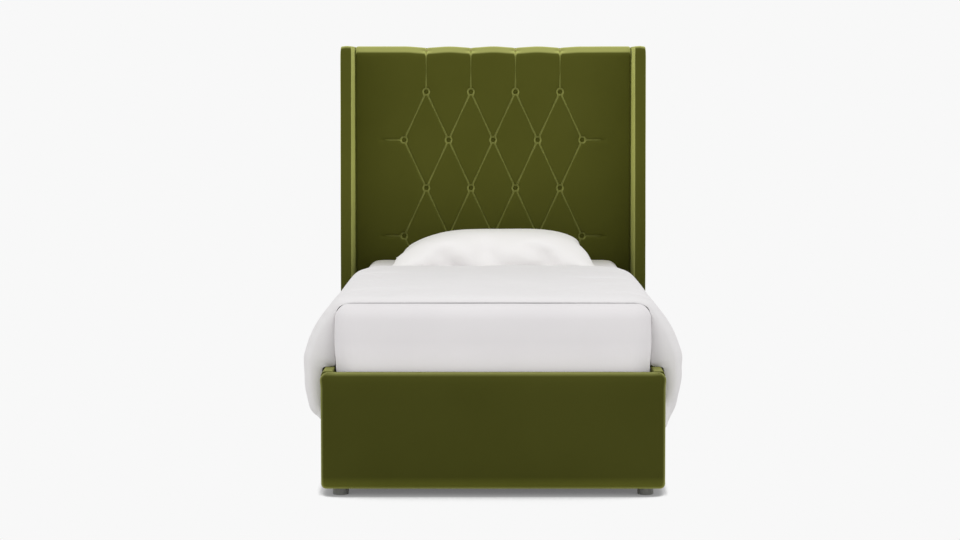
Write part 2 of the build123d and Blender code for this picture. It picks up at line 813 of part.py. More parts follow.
with BuildPart() as center_leg:
    half_leg = leg_width / 2
    add(block((-half_leg, half_leg), (-half_leg, half_leg), (leg_floor_gap, beam_bottom_z)))
    drill(Plane.XY.offset(leg_floor_gap), [(0, 0)], bolt_radius, beam_height / 2)
    drill(Plane.XY.offset(beam_bottom_z), [(0, 0)], bolt_radius, -beam_height / 2)
write(center_leg.part, "center_leg")

with BuildPart() as center_leg_bolt:
    add(rods(Plane.XY.offset(beam_bottom_z - beam_height / 2), [(0, 0)], bolt_radius, beam_height))
write(center_leg_bolt.part, "center_leg_bolt")

with BuildPart() as center_leg_leveler:
    add(rods(Plane.XY, [(0, 0)], leveler_radius, leveler_thickness))
    add(rods(Plane.XY, [(0, 0)], bolt_radius, leg_floor_gap + beam_height / 2))
write(center_leg_leveler.part, "center_leg_leveler")

# Slats, and the straps that keep them apart
slat_first_y = foot_inner_y + slat_end_gap + slat_width / 2
slat_last_y = lower_cover_front_y - slat_end_gap - slat_width / 2
slat_pitch = (slat_last_y - slat_first_y) / (slat_count - 1)
slat_x = rail_inner_x - slat_side_gap

for index in range(slat_count):
    with BuildPart() as slat:
        slat_y = slat_first_y + index * slat_pitch
        slat_y_range = (slat_y - slat_width / 2, slat_y + slat_width / 2)
        add(block((-slat_x, slat_x), slat_y_range, (slat_bottom_z, slat_top_z)))
    write(slat.part, f"slat_{index + 1:02d}")

with BuildPart() as slat_webbing:
    for side in sides.values():
        strap_x = side * slat_x * webbing_place_share
        add(
            block(
                (strap_x - webbing_width / 2, strap_x + webbing_width / 2),
                (slat_first_y - slat_width / 2, slat_last_y + slat_width / 2),
                (slat_bottom_z - webbing_thickness, slat_bottom_z),
            )
        )
write(slat_webbing.part, "slat_webbing")

# Feet and the studs that hold them
for name, place in feet_places.items():
    with BuildPart() as foot:
        add(rods(Plane.XY, [place], foot_radius, foot_height))
        fillet(edges().filter_by(GeomType.CIRCLE).sort_by(Axis.Z)[0], foot_edge_radius)
        drill(Plane.XY.offset(foot_height), [place], bolt_radius, -stud_in_foot)
    write(foot.part, name)

with BuildPart() as foot_studs:
    stud_bottom = Plane.XY.offset(foot_height - stud_in_foot)
    add(rods(stud_bottom, list(feet_places.values()), bolt_radius, stud_in_foot + stud_in_frame))
write(foot_studs.part, "foot_studs")


def mattress_form(grow):
    """The mattress's shape, swelled all round by one amount: barrel sides and rounded edges."""
    half = mattress_thickness / 2
    taper = degrees(atan(mattress_side_swell / half))
    with BuildPart() as form:
        for way in (1, -1):
            with BuildSketch(Plane.XY.offset(mattress_middle_z)):
                with Locations((0, mattress_middle_y)):
                    RectangleRounded(
                        mattress_width + 2 * (mattress_side_swell + grow),
                        mattress_length + 2 * (mattress_side_swell + grow),
                        mattress_corner_radius + grow,
                    )
            extrude(amount=way * (half + grow), taper=taper)
        fillet(faces().sort_by(Axis.Z)[-1].edges(), mattress_edge_radius + grow)
        fillet(faces().sort_by(Axis.Z)[0].edges(), mattress_edge_radius + grow)
    return form.part


with BuildPart() as mattress:
    add(mattress_form(0))
write(mattress.part, "mattress")

with BuildPart() as fitted_sheet:
    add(mattress_form(sheet_grow))
    add(mattress_form(sheet_gap), mode=Mode.SUBTRACT)
    add(
        block(
            (-wing_outer_x, wing_outer_x),
            (front_y, back_y),
            (foot_height, slat_top_z + sheet_hem_rise),
        ),
        mode=Mode.SUBTRACT,
    )
write(fitted_sheet.part, "fitted_sheet")


def duvet_side(side, reach, hang):
    """Corner points of the duvet's section on one side, as x and z, from the top to the inside."""
    top_z = bedding_z + duvet_thickness
    against_x = mattress_side_x + sheet_grow + duvet_mattress_gap
    edge_z = slat_top_z + mattress_thickness - mattress_edge_radius
    edge_radius = bedding_z - edge_z
    edge_x = against_x - edge_radius
    hang_x = rail_outer_x + duvet_rail_gap
    widest_x = hang_x + reach
    widest_z = top_z - duvet_widest_drop
    shoulder_x = against_x + duvet_shoulder_spread
    shoulder_z = top_z - duvet_shoulder_drop
    hem_z = top_z - hang
    hem_x = widest_x - duvet_hem_narrowing
    round_share = sin(radians(45))
    points = {
        "top": (against_x - duvet_shoulder_inset, top_z),
        "shoulder_bend": (
            shoulder_x - (duvet_shoulder_inset + duvet_shoulder_spread) * (1 - round_share),
            top_z - duvet_shoulder_drop * (1 - round_share),
        ),
        "shoulder": (shoulder_x, shoulder_z),
        "slope_bend": (
            (shoulder_x + widest_x) / 2 + duvet_slope_bulge,
            (shoulder_z + widest_z) / 2 + duvet_slope_bulge,
        ),
        "widest": (widest_x, widest_z),
        "hem_start": (hem_x, hem_z + duvet_hem_radius),
        "hem_bend": (
            hem_x - duvet_hem_radius * (1 - round_share),
            hem_z + duvet_hem_radius * (1 - round_share),
        ),
        "hem_end": (hem_x - duvet_hem_radius, hem_z),
        "hem_inside": (hang_x, hem_z),
        "rail_corner": (hang_x, rail_top_z + duvet_rail_rise),
        "gather": (against_x, rail_top_z + duvet_gather_height),
        "mattress_side": (against_x, edge_z),
        "mattress_bend": (edge_x + edge_radius * round_share, edge_z + edge_radius * round_share),
        "mattress_top": (edge_x, bedding_z),
    }
    return {name: (side * x, z) for name, (x, z) in points.items()}


with BuildPart() as duvet:
    station_pitch = (duvet_end_y - duvet_start_y) / (duvet_station_count - 1)
    stations = zip(
        range(duvet_station_count),
        duvet_left_reach_shares,
        duvet_left_hang_shares,
        duvet_right_reach_shares,
        duvet_right_hang_shares,
    )
    for index, left_reach, left_hang, right_reach, right_hang in stations:
        station_y = duvet_start_y + station_pitch * index
        left = duvet_side(-1, duvet_side_reach * left_reach, duvet_side_hang * left_hang)
        right = duvet_side(1, duvet_side_reach * right_reach, duvet_side_hang * right_hang)
        with BuildSketch(across_y(station_y)):
            with BuildLine():
                Line(left["top"], right["top"])
                for side in (right, left):
                    ThreePointArc(side["top"], side["shoulder_bend"], side["shoulder"])
                    ThreePointArc(side["shoulder"], side["slope_bend"], side["widest"])
                    Line(side["widest"], side["hem_start"])
                    ThreePointArc(side["hem_start"], side["hem_bend"], side["hem_end"])
                    Line(side["hem_end"], side["hem_inside"])
                    Line(side["hem_inside"], side["rail_corner"])
                    Line(side["rail_corner"], side["gather"])
                    Line(side["gather"], side["mattress_side"])
                    ThreePointArc(side["mattress_side"], side["mattress_bend"], side["mattress_top"])
                Line(right["mattress_top"], left["mattress_top"])
            make_face()
    loft()
write(duvet.part, "duvet")

with BuildPart() as pillow:
    for place_share, depth_share, height_share in zip(
        pillow_station_shares, pillow_depth_shares, pillow_height_shares
    ):
        half_depth = pillow_depth * depth_share / 2
        height = pillow_thickness * height_share
        seam_z = bedding_z + height * pillow_under_share
        front = (pillow_middle_y - half_depth, seam_z)
        rear = (pillow_middle_y + half_depth, seam_z)
        with BuildSketch(across_x(place_share * pillow_length / 2)):
            with BuildLine():
                ThreePointArc(front, (pillow_middle_y, bedding_z + height), rear)
                ThreePointArc(rear, (pillow_middle_y, bedding_z), front)
            make_face()
    loft()
write(pillow.part, "pillow")
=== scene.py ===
"""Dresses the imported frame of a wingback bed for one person.

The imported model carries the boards, the fittings and the collision forms. This script puts the tufted
velvet, the mattress and the bedding round them, gives every part its finish, lights the bed in a plain
studio and sets the camera. Lengths are in metres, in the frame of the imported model: +Z is up and +Y
points to the headboard.
"""

import json
import logging
import math
from abc import ABC, abstractmethod
from collections.abc import Callable, Iterator, Sequence
from dataclasses import dataclass
from enum import Enum

import bmesh
import bpy
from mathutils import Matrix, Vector, noise

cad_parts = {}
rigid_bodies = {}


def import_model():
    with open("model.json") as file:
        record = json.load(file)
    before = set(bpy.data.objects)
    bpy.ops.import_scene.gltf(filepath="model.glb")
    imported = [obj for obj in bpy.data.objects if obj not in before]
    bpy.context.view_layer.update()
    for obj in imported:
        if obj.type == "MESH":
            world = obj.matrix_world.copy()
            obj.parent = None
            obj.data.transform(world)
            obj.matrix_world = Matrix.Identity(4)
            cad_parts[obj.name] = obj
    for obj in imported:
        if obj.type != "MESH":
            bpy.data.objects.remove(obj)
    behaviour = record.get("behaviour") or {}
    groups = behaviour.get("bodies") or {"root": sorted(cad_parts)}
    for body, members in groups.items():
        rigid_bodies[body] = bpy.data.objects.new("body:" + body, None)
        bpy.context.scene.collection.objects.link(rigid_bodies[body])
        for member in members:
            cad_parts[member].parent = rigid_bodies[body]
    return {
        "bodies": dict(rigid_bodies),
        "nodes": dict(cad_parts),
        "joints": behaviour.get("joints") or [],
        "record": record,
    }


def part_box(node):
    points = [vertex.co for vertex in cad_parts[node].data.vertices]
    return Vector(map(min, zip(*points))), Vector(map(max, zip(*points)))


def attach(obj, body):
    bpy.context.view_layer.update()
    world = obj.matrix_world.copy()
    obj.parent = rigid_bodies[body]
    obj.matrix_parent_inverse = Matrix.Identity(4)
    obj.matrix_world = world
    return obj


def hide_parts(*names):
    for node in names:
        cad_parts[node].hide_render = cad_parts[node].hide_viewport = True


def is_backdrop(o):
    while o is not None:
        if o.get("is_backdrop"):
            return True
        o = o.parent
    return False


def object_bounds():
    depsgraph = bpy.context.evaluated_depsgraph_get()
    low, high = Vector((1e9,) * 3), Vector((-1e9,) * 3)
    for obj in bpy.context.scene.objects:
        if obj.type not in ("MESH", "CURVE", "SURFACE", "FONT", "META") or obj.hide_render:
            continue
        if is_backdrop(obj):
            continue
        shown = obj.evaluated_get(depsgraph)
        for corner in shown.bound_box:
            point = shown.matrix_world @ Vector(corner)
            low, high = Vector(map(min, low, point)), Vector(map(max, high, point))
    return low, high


LOG = logging.getLogger("wingback_bed")
TOUCH = 1e-5

Colour = tuple[float, float, float, float]
Place = tuple[float, float]
EdgeTest = Callable[[bmesh.types.BMEdge], bool]


class Side(Enum):
    """The two sides of the bed, as seen from its foot."""

    LEFT = -1
    RIGHT = 1

    @property
    def word(self) -> str:
        """The side's name as it stands in the names of the nodes."""
        return self.name.lower()


class GrainAxis(Enum):
    """The direction in which the fibres of a piece of wood run."""

    X = 0
    Y = 1
    Z = 2


def grey(level: float) -> Colour:
    """A grey of one level."""
    return (level, level, level, 1.0)


# Shader graphs


class Signal:
    """A value that varies over a surface. Arithmetic on it adds Math nodes to its graph."""

    def __init__(self, graph: "Graph", socket: bpy.types.NodeSocket) -> None:
        """Wrap one output socket of a graph."""
        self.graph = graph
        self.socket = socket

    def _math(self, operation: str, first: "Signal | float", second: "Signal | float") -> "Signal":
        """Add one Math node and give its result."""
        return self.graph.node("ShaderNodeMath", {"operation": operation}, {0: first, 1: second})

    def __add__(self, other: "Signal | float") -> "Signal":
        """This value plus another."""
        return self._math("ADD", self, other)

    def __radd__(self, other: float) -> "Signal":
        """A number plus this value."""
        return self._math("ADD", other, self)

    def __rsub__(self, other: float) -> "Signal":
        """A number less this value."""
        return self._math("SUBTRACT", other, self)

    def __mul__(self, other: "Signal | float") -> "Signal":
        """This value times another."""
        return self._math("MULTIPLY", self, other)

    def __rmul__(self, other: float) -> "Signal":
        """A number times this value."""
        return self._math("MULTIPLY", other, self)


class Graph:
    """A tree of shader nodes, for a material or for the world."""

    def __init__(self, tree: bpy.types.NodeTree) -> None:
        """Take over a tree and empty it."""
        self.tree = tree
        tree.nodes.clear()

    def node(
        self,
        kind: str,
        settings: dict[str, object] | None = None,
        inputs: dict[str | int, object] | None = None,
        output: str | int = 0,
    ) -> Signal:
        """Add a node.

        Args:
            kind: The node's type.
            settings: The node's own settings. The stops of a ramp are pairs of place and colour.
            inputs: Values or links of its sockets, by name or number.
            output: The socket that is given back.

        Returns:
            The wanted output socket.
        """
        made = self.tree.nodes.new(kind)
        for name, value in (settings or {}).items():
            if name == "stops":
                self._set_stops(made.color_ramp, value)
            else:
                setattr(made, name, value)
        for key, value in (inputs or {}).items():
            if isinstance(value, Signal):
                self.tree.links.new(value.socket, made.inputs[key])
            else:
                made.inputs[key].default_value = value
        return Signal(self, made.outputs[output] if made.outputs else None)

    @staticmethod
    def _set_stops(ramp: bpy.types.ColorRamp, stops: list[tuple[float, Colour]]) -> None:
        """Give a colour ramp its stops.

        Args:
            ramp: The ramp, with two stops of its own.
            stops: Pairs of place and colour, in order.
        """
        while len(ramp.elements) < len(stops):
            ramp.elements.new(0.5)
        for element, (place, colour) in zip(ramp.elements, stops):
            element.position = place
            element.color = colour

    def place(self, stretch: tuple[float, float, float] = (1.0, 1.0, 1.0)) -> Signal:
        """Object coordinates, stretched along the three axes."""
        coordinates = self.node("ShaderNodeTexCoord", output="Object")
        return self.node("ShaderNodeMapping", {}, {"Vector": coordinates, "Scale": stretch})

    def part(self, place: Signal, axis: str) -> Signal:
        """One coordinate of a place."""
        return self.node("ShaderNodeSeparateXYZ", {}, {0: place}, axis)

    def cloud(self, place: Signal, scale: float, detail: float = 2.0, rough: float = 0.5) -> Signal:
        """Noise from 0 to 1."""
        inputs = {"Vector": place, "Scale": scale, "Detail": detail, "Roughness": rough}
        return self.node("ShaderNodeTexNoise", {}, inputs)

    def ribs(self, place: Signal, across: str, scale: float, wander: float, detail: float = 2.0) -> Signal:
        """Waves from 0 to 1 that follow each other along one axis."""
        inputs = {"Vector": place, "Scale": scale, "Distortion": wander, "Detail": detail}
        return self.node("ShaderNodeTexWave", {"bands_direction": across}, inputs, "Fac")

    def blend(self, share: Signal, first: Colour, second: Colour) -> Signal:
        """A mix of two colours."""
        inputs = {0: share, 6: first, 7: second}
        return self.node("ShaderNodeMix", {"data_type": "RGBA"}, inputs, 2)

    def scaled(self, colour: Signal, gain: Signal) -> Signal:
        """A colour times a value."""
        return self.node("ShaderNodeVectorMath", {"operation": "SCALE"}, {0: colour, "Scale": gain})

    def limit(self, value: Signal, low: float, high: float) -> Signal:
        """A value spread so that low becomes 0 and high becomes 1, and cut off beyond."""
        inputs = {"Value": value, "From Min": low, "From Max": high}
        return self.node("ShaderNodeMapRange", {"clamp": True}, inputs)

    def bump(self, height: Signal, strength: float, distance: float) -> Signal:
        """A normal that is tilted by a height in metres."""
        inputs = {"Height": height, "Strength": strength, "Distance": distance}
        return self.node("ShaderNodeBump", {}, inputs, "Normal")


def new_material(name: str) -> tuple[bpy.types.Material, Graph]:
    """Make a material.

    Args:
        name: Its name.

    Returns:
        The material and its empty graph.
    """
    material = bpy.data.materials.new(name)
    material.use_nodes = True
    return material, Graph(material.node_tree)


# Finishes


@dataclass(frozen=True)
class Finish(ABC):
    """The look of one stuff, as a Principled surface."""

    name: str

    @abstractmethod
    def inputs(self, graph: Graph) -> dict[str, object]:
        """The values and links of the surface's sockets, by their names."""

    def material(self) -> bpy.types.Material:
        """Build the material.

        Returns:
            The new material.
        """
        material, graph = new_material(self.name)
        surface = graph.node("ShaderNodeBsdfPrincipled", {}, self.inputs(graph))
        graph.node("ShaderNodeOutputMaterial", {}, {"Surface": surface})
        return material


@dataclass(frozen=True)
class Velvet(Finish):
    """Cut-pile velvet, with painted light in its colour: a painted sheen makes it pale where the pile is seen
    edgeways and dark face on, with painted shade low down and painted bounce light near the hem.
    """

    name: str = "green_velvet"
    face: Colour = (0.078, 0.081, 0.0107, 1.0)
    brushed: Colour = (0.089, 0.092, 0.0135, 1.0)
    crush_scale: float = 2.6
    pile_scale: float = 620.0
    pile_height: float = 0.0006
    # Painted shade: the colour is darkened to this share low down, easing off between the two heights below.
    painted_shade_share: float = 0.66
    low_height: float = 0.3
    full_height: float = 0.95
    # Painted sheen: where the pile is seen edgeways the colour is lightened by the gain and made bluer, less
    # so low down.
    edge_start: float = 0.2
    edge_end: float = 0.74
    painted_sheen_gain: float = 5.5
    low_edge: float = 0.7
    painted_sheen_blue: float = 0.095
    # Painted bounce light: near the hem the colour is lightened by the gain below, fading out between the two
    # heights, for light thrown up from the floor.
    hem_low: float = 0.026
    hem_high: float = 0.062
    painted_bounce_gain: float = 1.1

    def inputs(self, graph: Graph) -> dict[str, object]:
        """Paint shade onto the pile towards the floor, a painted sheen where it is seen edgeways, and painted
        bounce light near the hem.

        Args:
            graph: The material's graph.

        Returns:
            The surface's inputs.
        """
        place = graph.place()
        crush = graph.limit(graph.cloud(place, self.crush_scale, 3.0), 0.35, 0.68)
        pile = graph.cloud(place, self.pile_scale, 2.0, 0.7)
        turned = graph.node("ShaderNodeLayerWeight", {}, {"Blend": 0.5}, "Facing")
        height = graph.part(place, "Z")
        raised = graph.limit(height, self.low_height, self.full_height)
        # Painted sheen: the colour is lightened where the surface turns edgeways to the view, less so low
        # down.
        painted_sheen_share = self.low_edge + (1 - self.low_edge) * raised
        painted_sheen_mask = graph.limit(turned, self.edge_start, self.edge_end) * painted_sheen_share
        # Painted shade: the colour is darkened towards the floor.
        shade = self.painted_shade_share + (1 - self.painted_shade_share) * raised
        nap = graph.blend(crush * 0.75 + pile * 0.25, self.face, self.brushed)
        # Painted bounce light: the colour is lightened near the hem.
        hem = 1 - graph.limit(height, self.hem_low, self.hem_high)
        lit = graph.scaled(nap, shade * (1 + self.painted_sheen_gain * painted_sheen_mask + self.painted_bounce_gain * hem))
        # The painted sheen also adds a little blue.
        painted_sheen_tint = graph.node("ShaderNodeCombineXYZ", {}, {2: painted_sheen_mask * shade * self.painted_sheen_blue})
        return {
            "Base Color": graph.node("ShaderNodeVectorMath", {"operation": "ADD"}, {0: lit, 1: painted_sheen_tint}),
            "Roughness": 0.9,
            "Specular IOR Level": 0.08,
            "Normal": graph.bump(pile, 0.25, self.pile_height),
        }


@dataclass(frozen=True)
class Cotton(Finish):
    """Plain-woven cotton with a fine crossed thread, and painted light low down: its colour is lightened
    there by the share that lift gives.
    """

    tone: Colour
    shade: Colour
    # Painted light: how much the colour is lightened low down, between the two heights below.
    lift: float = 0.0
    lift_low: float = 0.38
    lift_high: float = 0.47
    thread_scale: float = 70.0
    slub_scale: float = 240.0
    patch_scale: float = 5.0
    weave_height: float = 0.0006

    def inputs(self, graph: Graph) -> dict[str, object]:
        """Cross two sets of threads over a tone that varies in soft patches.

        Args:
            graph: The material's graph.

        Returns:
            The surface's inputs.
        """
        place = graph.place()
        warp, weft = (graph.ribs(place, axis, self.thread_scale, 0.6, 1.0) for axis in "XY")
        slub = graph.cloud(place, self.slub_scale, 2.0, 0.6)
        patches = graph.limit(graph.cloud(place, self.patch_scale), 0.3, 0.75)
        cloth = graph.blend(patches, self.tone, self.shade)
        # Painted light: the colour is lightened low down.
        painted_lift_share = 1 - graph.limit(graph.part(place, "Z"), self.lift_low, self.lift_high)
        return {
            "Base Color": graph.scaled(cloth, 1 + self.lift * painted_lift_share),
            "Roughness": 0.82 + slub * 0.1,
            "Specular IOR Level": 0.3,
            "Sheen Weight": 0.08,
            "Sheen Roughness": 0.5,
            "Normal": graph.bump(warp * weft + slub * 0.6, 0.12, self.weave_height),
        }


@dataclass(frozen=True)
class Ticking(Finish):
    """A mattress cover with a small quilted figure, and painted shade in the dips between its cells."""

    name: str = "mattress_ticking"
    tone: Colour = (0.76, 0.76, 0.77, 1.0)
    shade: Colour = (0.62, 0.63, 0.66, 1.0)
    cell_scale: float = 34.0
    knit_scale: float = 900.0
    quilt_height: float = 0.0025

    def inputs(self, graph: Graph) -> dict[str, object]:
        """Puff up small cells of a fine knit.

        Args:
            graph: The material's graph.

        Returns:
            The surface's inputs.
        """
        place = graph.place()
        cells = {"Vector": place, "Scale": self.cell_scale}
        puff = graph.limit(graph.node("ShaderNodeTexVoronoi", {}, cells, "Distance"), 0.0, 0.6)
        knit = graph.cloud(place, self.knit_scale, 2.0, 0.6)
        return {
            # Painted shade: the colour darkens towards the edges of each cell, where the quilting dips.
            "Base Color": graph.blend(puff, self.tone, self.shade),
            "Roughness": 0.78 + knit * 0.12,
            "Specular IOR Level": 0.3,
            "Normal": graph.bump((1 - puff) * 2.0 + knit * 0.12, 0.5, self.quilt_height),
        }


@dataclass(frozen=True)
class Timber(Finish):
    """Planed softwood with long fibres, growth rings and a few darker streaks."""

    pale: Colour
    dark: Colour
    axis: GrainAxis
    grain_height: float = 0.0006

    def _stretch(self, across: float, along: float) -> tuple[float, ...]:
        """Scales for the three axes, with their own value along the fibres."""
        return tuple(along if axis == self.axis.value else across for axis in range(3))

    def inputs(self, graph: Graph) -> dict[str, object]:
        """Draw fibres out along the wood, over bands of growth.

        Args:
            graph: The material's graph.

        Returns:
            The surface's inputs.
        """
        rings = graph.cloud(graph.place(self._stretch(26.0, 1.6)), 1.1, 3.0, 0.55)
        bands = graph.node("ShaderNodeMath", {"operation": "FRACT"}, {0: rings * 7.0})
        fibre = graph.cloud(graph.place(self._stretch(420.0, 9.0)), 1.0, 2.0, 0.6)
        share = graph.limit(bands * 0.45 + fibre * 0.75, 0.2, 1.0)
        return {
            "Base Color": graph.blend(share, self.pale, self.dark),
            "Roughness": 0.55 + fibre * 0.2,
            "Normal": graph.bump(fibre + bands * 0.3, 0.25, self.grain_height),
        }


@dataclass(frozen=True)
class Webbing(Finish):
    """Flat woven tape with ribs across it."""

    name: str = "webbing"
    tone: Colour = (0.018, 0.018, 0.02, 1.0)
    worn: Colour = (0.05, 0.05, 0.052, 1.0)
    rib_scale: float = 130.0
    fuzz_scale: float = 700.0
    rib_height: float = 0.0008

    def inputs(self, graph: Graph) -> dict[str, object]:
        """Rib the tape and fuzz its threads.

        Args:
            graph: The material's graph.

        Returns:
            The surface's inputs.
        """
        place = graph.place()
        ribs = graph.ribs(place, "Y", self.rib_scale, 0.4)
        fuzz = graph.cloud(place, self.fuzz_scale, 2.0, 0.7)
        return {
            "Base Color": graph.blend(ribs * 0.5 + fuzz * 0.4, self.tone, self.worn),
            "Roughness": 0.8,
            "Normal": graph.bump(ribs + fuzz * 0.4, 0.5, self.rib_height),
        }


@dataclass(frozen=True)
class Mottled(Finish):
    """A hard surface with patches of wear and a fine grain."""

    tone: Colour
    worn: Colour
    metallic: float
    patch_scale: float
    patch_limits: tuple[float, float]
    grain_stretch: tuple[float, float, float]
    grain_strength: float
    grain_height: float
    roughness: float
    patch_roughness: float
    grain_roughness: float

    def inputs(self, graph: Graph) -> dict[str, object]:
        """Blend the worn patches in and roughen them, under the grain.

        Args:
            graph: The material's graph.

        Returns:
            The surface's inputs.
        """
        patches = graph.limit(graph.cloud(graph.place(), self.patch_scale, 3.0, 0.6), *self.patch_limits)
        grain = graph.cloud(graph.place(self.grain_stretch), 1.0, 2.0, 0.6)
        return {
            "Base Color": graph.blend(patches, self.tone, self.worn),
            "Metallic": self.metallic,
            "Roughness": self.roughness + patches * self.patch_roughness + grain * self.grain_roughness,
            "Normal": graph.bump(grain, self.grain_strength, self.grain_height),
        }


# Grey moulded plastic with a spark-eroded grain, and bright zinc-plated steel with scratches.
FOOT_PLASTIC = Mottled(
    name="foot_plastic",
    tone=(0.2, 0.2, 0.19, 1.0),
    worn=(0.25, 0.25, 0.24, 1.0),
    metallic=0.0,
    patch_scale=60.0,
    patch_limits=(0.55, 0.8),
    grain_stretch=(1500.0, 1500.0, 1500.0),
    grain_strength=0.3,
    grain_height=0.0003,
    roughness=0.42,
    patch_roughness=0.1,
    grain_roughness=0.18,
)
ZINC_STEEL = Mottled(
    name="zinc_steel",
    tone=(0.56, 0.57, 0.58, 1.0),
    worn=(0.36, 0.37, 0.39, 1.0),
    metallic=1.0,
    patch_scale=90.0,
    patch_limits=(0.35, 0.7),
    grain_stretch=(900.0, 60.0, 900.0),
    grain_strength=0.15,
    grain_height=0.0002,
    roughness=0.28,
    patch_roughness=0.14,
    grain_roughness=0.08,
)


# Curves and noise


def smoothstep(value: float) -> float:
    """A share from 0 to 1 that eases in and out."""
    value = min(1.0, max(0.0, value))
    return value * value * (3 - 2 * value)


def ripple(place: Vector, scale: float, seed: float) -> float:
    """Smooth noise from about -1 to 1 at a place, in waves of about one over the scale."""
    return noise.noise(place * scale + Vector((seed, seed * 0.7, -seed)))


def from_line(x: float, y: float, start: Place, end: Place) -> tuple[float, float]:
    """Measure a point of a plane against a straight line.

    Args:
        x: The point's first coordinate.
        y: The point's second coordinate.
        start: The line's start.
        end: The line's end.

    Returns:
        How far along the line the nearest place lies, from 0 to 1, and how far off that place is.
    """
    run_x, run_y = end[0] - start[0], end[1] - start[1]
    along = ((x - start[0]) * run_x + (y - start[1]) * run_y) / (run_x * run_x + run_y * run_y)
    along = min(1.0, max(0.0, along))
    return along, math.hypot(x - start[0] - along * run_x, y - start[1] - along * run_y)


def between(values: Sequence[float], share: float, eased: bool = False) -> float:
    """Read a value between the stations of a list.

    Args:
        values: The values at stations that lie evenly apart.
        share: The place along the list, from 0 to 1.
        eased: Whether the value eases in and out between two stations.

    Returns:
        The value there.
    """
    place = share * (len(values) - 1)
    index = min(int(place), len(values) - 2)
    rest = smoothstep(place - index) if eased else place - index
    return values[index] + (values[index + 1] - values[index]) * rest


def evened(values: list[float], rounds: int) -> list[float]:
    """Even out a row of values.

    Args:
        values: The values.
        rounds: How many times each is drawn towards its neighbours.

    Returns:
        The evened values.
    """
    for _ in range(rounds):
        padded = [values[0], *values, values[-1]]
        values = [(a + 2 * b + c) / 4 for a, b, c in zip(padded, padded[1:], padded[2:])]
    return values


# Making meshes


def box_shape(low: Vector, high: Vector) -> bmesh.types.BMesh:
    """Make a plain box, as the start of a piece.

    Args:
        low: Its lowest corner.
        high: Its highest corner.

    Returns:
        The box.
    """
    shape = bmesh.new()
    bmesh.ops.create_cube(shape, size=1.0)
    bmesh.ops.scale(shape, vec=high - low, verts=shape.verts)
    bmesh.ops.translate(shape, vec=(low + high) / 2, verts=shape.verts)
    return shape


def grid_sheet(
    shape: bmesh.types.BMesh, columns: int, rows: int
) -> dict[tuple[int, int], bmesh.types.BMVert]:
    """Add a flat grid to a shape, to be formed vertex by vertex.

    Args:
        shape: The shape.
        columns: How many vertices lie across.
        rows: How many lie along.

    Returns:
        The grid's vertices by column and row.
    """
    last_column, last_row = columns - 1, rows - 1
    made = bmesh.ops.create_grid(shape, x_segments=last_column, y_segments=last_row, size=0.5)["verts"]
    return {
        (round((vertex.co.x + 0.5) * last_column), round((vertex.co.y + 0.5) * last_row)): vertex
        for vertex in made
    }


def bevel(shape: bmesh.types.BMesh, geometry: list, radius: float, segments: int, affect: str) -> None:
    """Bevel some edges or corners of a shape to a round form."""
    bmesh.ops.bevel(
        shape, geom=geometry, offset=radius, affect=affect, segments=segments, profile=0.5, material=-1
    )


def round_edges(shape: bmesh.types.BMesh, chosen: EdgeTest, radius: float, segments: int) -> None:
    """Round the edges of a shape that a test picks."""
    bevel(shape, [edge for edge in shape.edges if chosen(edge)], radius, segments, "EDGES")


def middle(edge: bmesh.types.BMEdge) -> Vector:
    """The middle of an edge."""
    return (edge.verts[0].co + edge.verts[1].co) / 2


def runs_along(edge: bmesh.types.BMEdge, axis: int) -> bool:
    """Whether an edge runs along one axis."""
    along = edge.verts[1].co - edge.verts[0].co
    return abs(along[axis]) > 0.999 * along.length


def cut(shape: bmesh.types.BMesh, place: Vector, normal: Vector, clear_behind: bool = False) -> None:
    """Cut a shape along a plane, and where it is asked for take away what lies behind the plane."""
    geometry = [*shape.verts, *shape.edges, *shape.faces]
    bmesh.ops.bisect_plane(
        shape, geom=geometry, dist=TOUCH, plane_co=place, plane_no=normal, clear_inner=clear_behind
    )


def lattice(shape: bmesh.types.BMesh, spacing: float) -> None:
    """Cut a shape into small faces along the three axes, so that it can swell and wrinkle.

    Args:
        shape: The shape.
        spacing: About how far apart the cuts lie.
    """
    for axis in range(3):
        values = [vertex.co[axis] for vertex in shape.verts]
        low, high = min(values), max(values)
        count = max(1, round((high - low) / spacing))
        normal = Vector((0.0, 0.0, 0.0))
        normal[axis] = 1.0
        for index in range(1, count):
            cut(shape, normal * (low + (high - low) * index / count), normal)


def put(name: str, data: bpy.types.ID) -> bpy.types.Object:
    """Put a new object into the scene.

    Args:
        name: The object's name.
        data: Its mesh, lamp or camera.

    Returns:
        The object, at the origin.
    """
    made = bpy.data.objects.new(name, data)
    bpy.context.scene.collection.objects.link(made)
    return made


def make_piece(
    name: str, shape: bmesh.types.BMesh, finish: bpy.types.Material, body: str, node: str
) -> bpy.types.Object:
    """Turn a shape into a finished piece that rides on a body.

    Args:
        name: The piece's name.
        shape: The shape, which is used up.
        finish: Its material.
        body: The body that it moves with.
        node: The node that it stands for.

    Returns:
        The new object.
    """
    mesh = bpy.data.meshes.new(name)
    shape.to_mesh(mesh)
    shape.free()
    mesh.shade_smooth()
    mesh.materials.append(finish)
    piece = put(name, mesh)
    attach(piece, body)
    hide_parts(node)
    LOG.info("%s: %d faces on %s", name, len(mesh.polygons), body)
    return piece


def make_cover(
    name: str, shape: bmesh.types.BMesh, velvet: bpy.types.Material, node: str
) -> bpy.types.Object:
    """Turn a shape into a velvet piece of the bed's frame."""
    return make_piece(name, shape, velvet, "bed_frame", node)


def settle(piece: bpy.types.Object) -> None:
    """Apply the modifiers of a piece to its mesh.

    Args:
        piece: The piece.
    """
    graph = bpy.context.evaluated_depsgraph_get()
    mesh = bpy.data.meshes.new_from_object(piece.evaluated_get(graph))
    piece.modifiers.clear()
    piece.data = mesh


